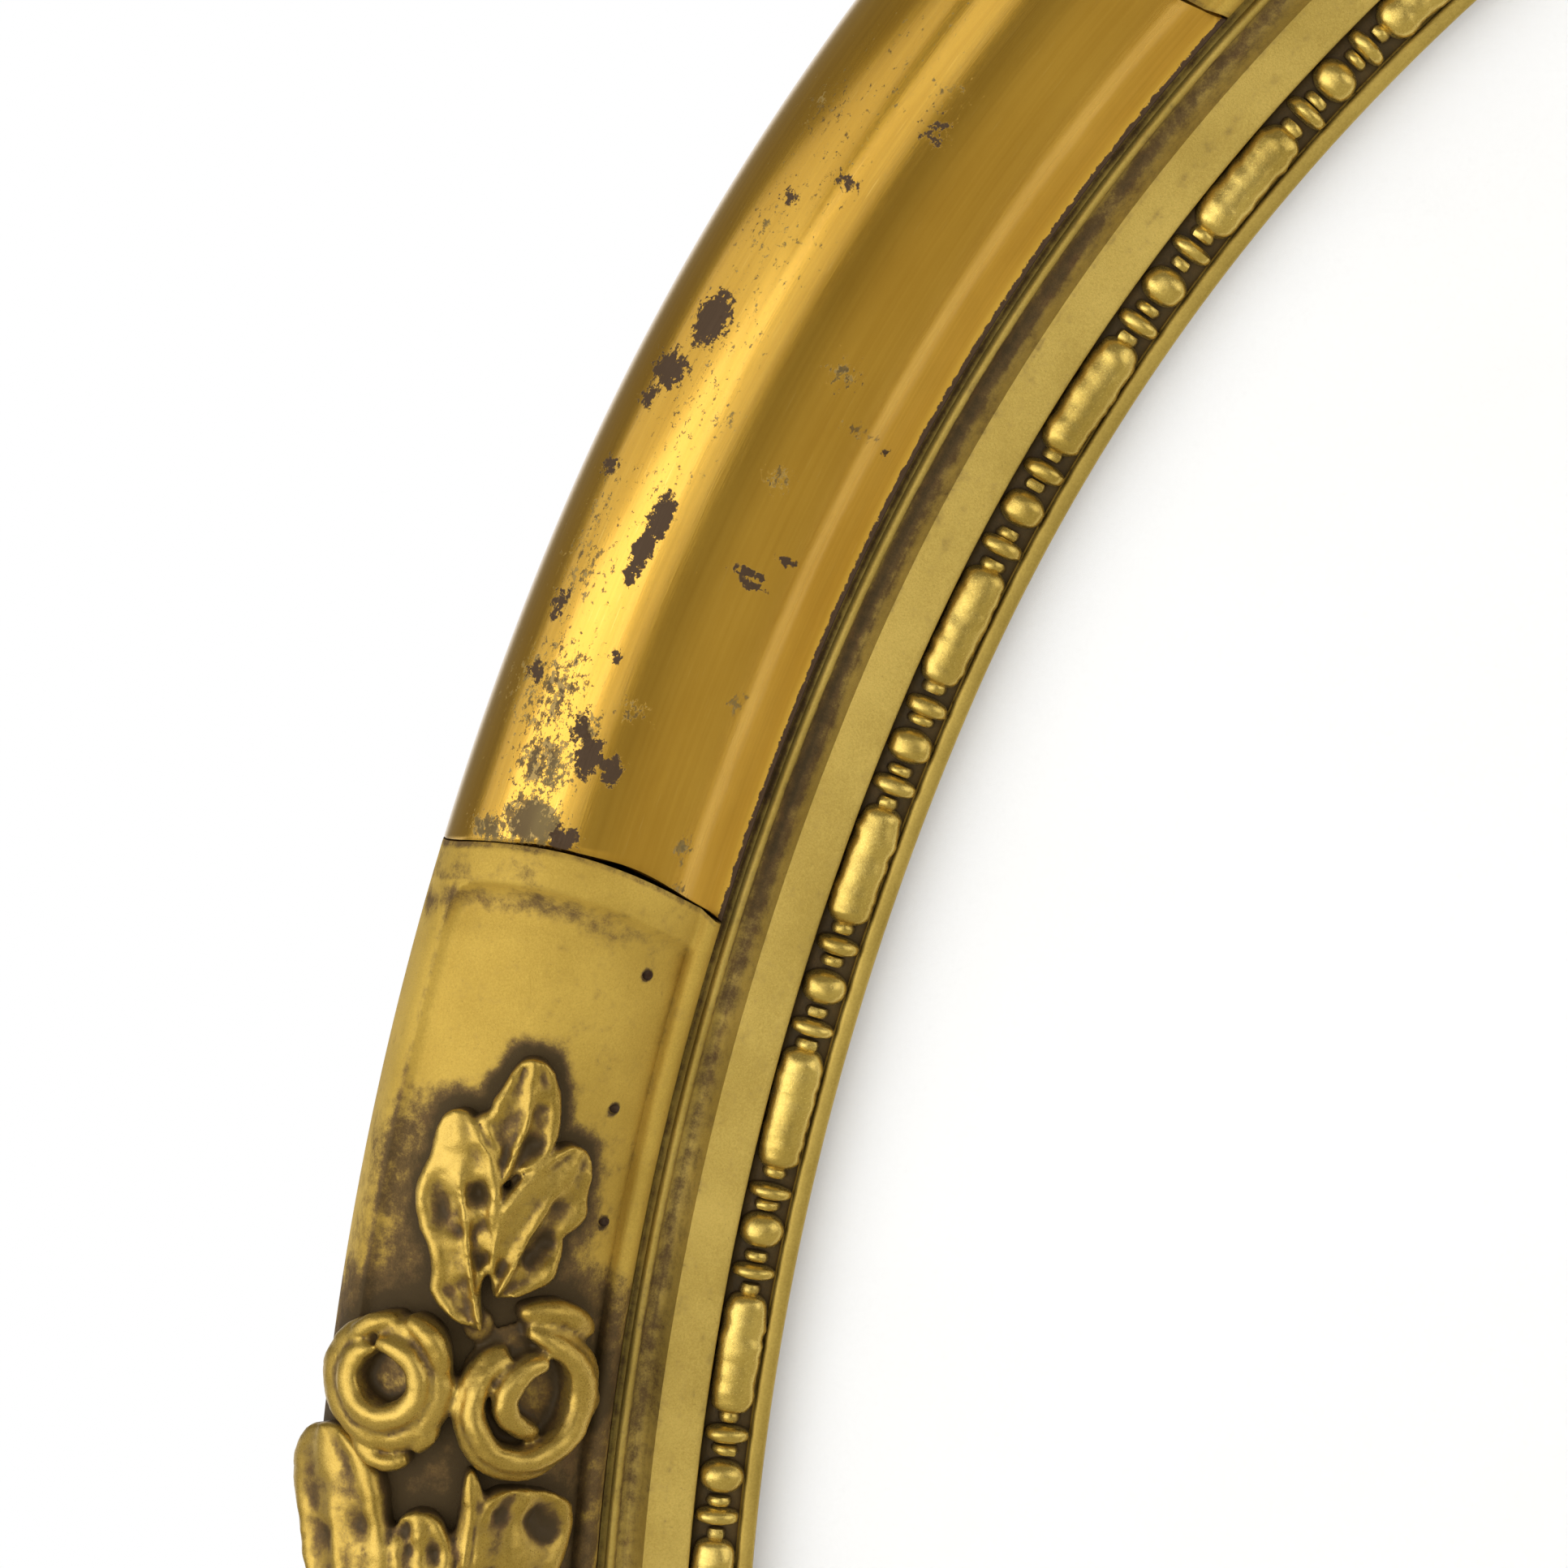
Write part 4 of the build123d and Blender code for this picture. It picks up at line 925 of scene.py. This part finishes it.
def fuse(bm, voxel, darkening):
    """Fuses the bench pieces into one casting, softens it, marks patina in its hollows and painted shade on its
    steep walls. The third argument is brown all over.
    """
    mesh = bpy.data.meshes.new("bench")
    bm.to_mesh(mesh)
    bm.free()
    bench = bpy.data.objects.new("bench", mesh)
    bpy.context.scene.collection.objects.link(bench)
    remesh = bench.modifiers.new("fuse", "REMESH")
    remesh.mode = "VOXEL"
    remesh.voxel_size = voxel
    bpy.context.view_layer.update()
    fused = bpy.data.meshes.new_from_object(bench.evaluated_get(bpy.context.evaluated_depsgraph_get()))
    bpy.data.objects.remove(bench)
    casting = bmesh.new()
    casting.from_mesh(fused)
    soften(casting, cast_smooth_rounds)
    casting.normal_update()
    for vert in casting.verts:
        vert.co += vert.normal * (0.12 * noise.noise(vert.co * 0.55) + 0.06 * noise.noise(vert.co * 1.7))
    before = [(vert.co.copy(), vert.normal.copy()) for vert in casting.verts]
    soften(casting, hollow_rounds)
    layer = casting.verts.layers.float.new("patina_and_shade")
    for vert, (place, normal) in zip(casting.verts, before):
        hollow = (vert.co - place).dot(normal)
        # Brown patina gathers in the hollows, the finish darkens low down near the field, raised parts stay
        # clean, and the steep walls are darkened as painted shade.
        low = max(0.0, 1.0 - place.z / 2.6)
        wall_shade = max(0.0, 1.0 - normal.z)
        blotch = 0.16 * noise.noise(place * 0.21) + 0.10 * noise.noise(place * 0.6)
        soil_and_shade = darkening + blotch + 2.6 * max(0.0, hollow) + 0.75 * low + 0.30 * wall_shade - 1.1 * max(0.0, -hollow)
        vert[layer] = min(1.3, soil_and_shade)
        vert.co = place
    return casting


side_half_run = radians(side_half_angle) * (side_radius + crest_line)
top_half_run = run_at(90.0) - run_at(90.0 - top_half_angle)
spray_middle, spray_tip = 98.0, 121.0
panel_foot = 0.0195
castings = {}
for half_run in (side_half_run, top_half_run):
    reach = half_run / side_half_run
    bench_spray = spray()
    bmesh.ops.translate(bench_spray, verts=bench_spray.verts, vec=((reach - 1) * spray_middle, 0, 0))
    castings[half_run] = {"spray": fuse(bench_spray, spray_voxel, spray_soiling),
                          "centre": fuse(centre_ornament(reach), centre_voxel, centre_soiling)}

bench_height = 3.4


def bend(bench, middle, end):
    """Bends a copy of a bench piece onto the field of the panel with this middle angle."""
    casting = bench.copy()
    for vert in casting.verts:
        foot = field_centre + (vert.co.y - field_centre) / (1 + bench_height / field_round)
        lean = min(max((foot - field_centre) / field_round, -0.95), 0.95)
        angle = angle_at(run_at(middle) + end * vert.co.x)
        height = field_height(foot) + vert.co.z * sqrt(1 - lean * lean)
        vert.co = oval_spot(angle, foot + vert.co.z * lean, height)
    bmesh.ops.recalc_face_normals(casting, faces=casting.faces)
    return casting


ornament_gold = matte_gilding("ornament_gold", (0.58, 0.400, 0.098, 1), (0.39, 0.255, 0.050, 1),
                              0.19, 0.9, 0.25, 0.85)
for name, (middle, half_angle) in panels.items():
    half_run = side_half_run if half_angle == side_half_angle else top_half_run
    near = []
    for kind, end in (("spray_one", -1), ("spray_two", 1), ("centre", 1)):
        casting = bend(castings[half_run]["centre" if kind == "centre" else "spray"], middle, end)
        near += [vert.co.copy() for vert in casting.verts][::4]
        piece = make_piece(f"ornament_{name}_{kind}", casting, ornament_gold, 180.0)
        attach(piece, "frame")
        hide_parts(f"casting_{name}_{kind}")

    # Patina on the panel gathers round its ornament, in the step beside the borders, in the holes and at seams,
    # and the crescent below each end band also carries painted shade.
    tree = kdtree.KDTree(len(near))
    for index, spot in enumerate(near):
        tree.insert(spot, index)
    tree.balance()
    mesh = panel_pieces[name].data
    patina_and_shade = mesh.attributes.new("patina_and_shade", "FLOAT", "POINT")
    for vert in mesh.vertices:
        angle, out = oval_place(vert.co)
        turned = (angle - middle + 180.0) % 360.0 - 180.0
        from_middle = abs(run_at(middle + turned) - run_at(middle))
        end = half_run + arch(out) - from_middle
        away = tree.find(vert.co)[2] * 1000
        patchy = 1 + 0.7 * noise.noise(vert.co * 60) + 0.4 * noise.noise(vert.co * 150)
        along = from_middle - (half_run / side_half_run - 1) * spray_middle
        below_tip = held((spray_tip - along) / 14.0)
        wide = held(max((out - crest_line) / 10.0, (spray_middle - along) / 10.0))
        spread = 2.0 + below_tip * (2.3 + 6.5 * wide)
        soil_and_shade = 0.60 * hump(away, 2.0) + (0.50 + 0.22 * patchy) * hump(away, spread)
        outer_share = min(1.0, max(0.15, (out - 26) / 22))
        # The crescent step below each end band: brown smudges, with painted shade under the band's lip.
        soil_and_shade += (0.16 + 0.30 * patchy) * hump(end - end_band - 3.0, 2.2) * outer_share * (out > 28)
        soil_and_shade += 0.34 * patchy ** 2 * hump(out - 60.0, 7.0) * (end < end_band)
        soil_and_shade += 0.22 * hump(out - border_groove, 0.5) * (end > end_band)
        soil_and_shade += 0.14 * hump(out - bead_groove, 0.55) * (end > end_band) + (0.30 if end < 0.7 else 0.0)
        from_hole = min((vert.co - spot).length for spot in panel_holes[name]) * 1000
        soil_and_shade += 1.2 * exp(-from_hole ** 4)
        soil_and_shade += 0.5 if vert.co.y > -panel_foot else 0.0
        patina_and_shade.data[vert.index].value = 0.24 + 0.10 * (patchy - 1) + soil_and_shade


# Glass, blank card and backing board, held in the rebate behind the lip.
# Thin old glass with a little dust, an off-white card of plain paper, and a brown pulp board.
def thin_glass():
    material, start, shader = start_finish("thin_glass", {"Roughness": 0.04, "IOR": 1.5,
                                                          "Base Color": (0.93, 0.97, 0.95, 1)})
    at = in_millimetres(start)
    dust = at.cloud(0.8, 5.0, 0.7).rise(0.55, 0.8)
    (dust * 0.03 + 0.05).into(shader, "Alpha")
    return material


def plain_card():
    material, start, shader = start_finish("plain_card", {"Specular IOR Level": 0.2})
    at = in_millimetres(start)
    fibre = at.cloud(1.6, 6.0, 0.75)
    tone = at.cloud(0.01, 3.0)
    paper = (fibre * 0.5 + tone * 0.5).rise(0.3, 0.7).mix((0.90, 0.89, 0.87, 1), (0.95, 0.945, 0.93, 1))
    paper.into(shader, "Base Color")
    (fibre * 0.1 + 0.82).into(shader, "Roughness")
    fibre.bump(shader, 0.12, 0.0001)
    return material


def pulp_board():
    material, start, shader = start_finish("pulp_board", {"Specular IOR Level": 0.2})
    at = in_millimetres(start)
    fibre = at.stretch(0.4, 1.0, 1.0).cloud(1.1, 6.0, 0.75)
    stain = at.cloud(0.012, 5.0, 0.6).rise(0.4, 0.7)
    dark_pulp = stain.mix((0.30, 0.205, 0.115, 1), (0.20, 0.130, 0.068, 1))
    pale_pulp = stain.mix((0.42, 0.305, 0.185, 1), (0.29, 0.20, 0.11, 1))
    fibre.rise(0.3, 0.7).mix(dark_pulp, pale_pulp).into(shader, "Base Color")
    (fibre * 0.15 + 0.75).into(shader, "Roughness")
    fibre.bump(shader, 0.3, 0.0002)
    return material


glazing = {"glass_pane": thin_glass(), "blank_card": plain_card(), "backing_board": pulp_board()}
for node, material in glazing.items():
    coat(node, material)


# Brads, turn buttons, screws and the hanger: pressed brass and drawn steel, handled for a century.
def worn_metal(name, clean, tarnished, roughness, spread):
    material, start, shader = start_finish(name, {"Metallic": 1.0})
    at = in_millimetres(start)
    cloudy = at.cloud(spread, 6.0, 0.65)
    spotted = at.cloud(2.2, 4.0, 0.75).rise(0.60, 0.72)
    scratch = at.stretch(0.2, 1.0, 1.6).cloud(3.5, 4.0, 0.7)
    (cloudy.rise(0.35, 0.68) * 0.8 + spotted * 0.2).mix(clean, tarnished).into(shader, "Base Color")
    (cloudy * 0.2 + spotted * 0.2 + scratch * 0.1 + roughness).into(shader, "Roughness")
    (scratch * 0.5 - spotted * 0.5).bump(shader, 0.25, 0.0001)
    return material


worn_brass = worn_metal("worn_brass", (0.66, 0.46, 0.17, 1), (0.23, 0.14, 0.055, 1), 0.22, 0.35)
dull_steel = worn_metal("dull_steel", (0.42, 0.40, 0.38, 1), (0.13, 0.09, 0.065, 1), 0.30, 0.5)
rusty_iron = worn_metal("rusty_iron", (0.11, 0.075, 0.055, 1), (0.06, 0.03, 0.018, 1), 0.5, 0.9)
metal_nodes = {f"turn_button_{number}": worn_brass for number in range(1, 7)}
metal_nodes.update({"hanger_plate": worn_brass, "hanger_ring": worn_brass, "turn_button_screws": dull_steel,
                    "hanger_screws": dull_steel, "panel_brads": rusty_iron})
for node, material in metal_nodes.items():
    coat(node, material)


# Studio: a pale floor that runs out into white, a dim room behind the camera, three soft lights on the left,
# a fill on the right and one behind. The right edge of the tall light gives the burnished gold its highlight.
# Mirrors see the floor in front dim and warm. The camera looks at the upper left quarter of the frame.
floor_level = cad_box[0][2] - 0.0005
floor_fade = (0.75, 1.15)
floor_bm = bmesh.new()
bmesh.ops.create_grid(floor_bm, x_segments=1, y_segments=1, size=6.0)
bmesh.ops.translate(floor_bm, verts=floor_bm.verts, vec=(0, 0, floor_level))
floor_material, floor_start, floor_shader = start_finish("pale_floor", {"Roughness": 0.7,
                                                                        "Specular IOR Level": 0.1})
floor_at = in_millimetres(floor_start)
floor_tone = floor_at.cloud(0.02, 3.0).mix((0.82, 0.82, 0.81, 1), (0.86, 0.86, 0.85, 1))


def seen_rays(start):
    """1 for rays from the camera, and the same for rays off gloss or through glass."""
    rays = start.node("ShaderNodeLightPath", output="Is Camera Ray")
    glossy = Finish(start.tree, rays.socket.node.outputs["Is Glossy Ray"])
    clear = Finish(start.tree, rays.socket.node.outputs["Is Transmission Ray"])
    return rays, glossy.sum("MAXIMUM", glossy, clear)


camera_rays, mirror_rays = seen_rays(floor_start)
mirror_rays.mix(floor_tone, (0.50, 0.46, 0.31, 1)).into(floor_shader, "Base Color")
far = floor_at.node("ShaderNodeVectorMath", {"operation": "LENGTH"}, {0: floor_at.stretch(1, 1, 0)}, "Value")
far_behind = floor_at.node("ShaderNodeSeparateXYZ", {}, {0: floor_at}, "Y")
far, far_behind = (reach.rise(floor_fade[0] * 1000, floor_fade[1] * 1000) for reach in (far, far_behind))
glow = floor_start.node("ShaderNodeEmission", {}, {"Color": (1, 1, 1, 1), "Strength": 1.0})
paint = Finish(floor_start.tree, floor_shader.outputs["BSDF"])
white = far * camera_rays
white = white.sum("MAXIMUM", white, far_behind * mirror_rays)
shown = floor_start.node("ShaderNodeMixShader", {}, {0: white, 1: paint, 2: glow})
shown.into(floor_start.tree.nodes["Material Output"], "Surface")
floor = make_piece("floor", floor_bm, floor_material)

world = bpy.data.worlds.new("studio")
world.use_nodes = True
bpy.context.scene.world = world
room = Finish(world.node_tree)
camera_rays, mirror_rays = seen_rays(room)
direction = room.node("ShaderNodeTexCoord", output="Generated")
behind = room.node("ShaderNodeSeparateXYZ", {}, {0: direction}, "Y").rise(0.80, 1.0)
walls = mirror_rays.mix((0.62, 0.62, 0.63, 1), behind.mix((0.26, 0.235, 0.17, 1), (1.0, 1.0, 1.0, 1)))
backdrop = world.node_tree.nodes["Background"]
camera_rays.mix(walls, (1.0, 1.0, 1.0, 1)).into(backdrop, "Color")
backdrop.inputs["Strength"].default_value = 1.0


def soft_light(name, place, target, width, height, brightness, roll_angle=0.0):
    """An even rectangle of light, turned to its target and rolled about its own axis."""
    lamp = bpy.data.lights.new(name, "AREA")
    lamp.shape = "RECTANGLE"
    lamp.size = width
    lamp.size_y = height
    lamp.energy = brightness * pi * width * height
    light = bpy.data.objects.new(name, lamp)
    turn = (Vector(target) - Vector(place)).to_track_quat("-Z", "Y").to_matrix().to_4x4()
    light.matrix_world = Matrix.Translation(place) @ turn @ Matrix.Rotation(radians(roll_angle), 4, "Z")
    bpy.context.scene.collection.objects.link(light)


soft_light("key_light", (-1.18, -1.02, 0.02), (-0.25, 0.0, 0.12), 1.45, 1.25, 1.30)
soft_light("tall_light", (-0.46, -1.45, 0.26), (-0.46, 0.0, 0.26), 0.74, 1.60, 0.77, -25.5)
soft_light("wash_light", (-1.7, -0.75, 0.30), (-0.25, 0.0, 0.15), 2.2, 2.2, 0.72)
soft_light("fill_light", (1.5, -1.1, 0.60), (-0.1, 0.0, 0.1), 1.8, 1.5, 1.10)
soft_light("rear_light", (0.9, 1.4, 1.1), (0.0, 0.0, 0.0), 1.4, 1.4, 2.4)

camera = bpy.data.objects.new("camera", bpy.data.cameras.new("camera"))
camera.data.angle = radians(22.0)
camera.data.clip_start = 0.01
camera.matrix_world = Matrix(((0.99978, 0.01647, 0.01289, -0.22153),
                              (0.01068, 0.12816, -0.99170, -0.59591),
                              (-0.01798, 0.99162, 0.12795, 0.23371),
                              (0.0, 0.0, 0.0, 1.0)))
bpy.context.scene.collection.objects.link(camera)
bpy.context.scene.camera = camera
bpy.context.scene.view_settings.view_transform = "Standard"
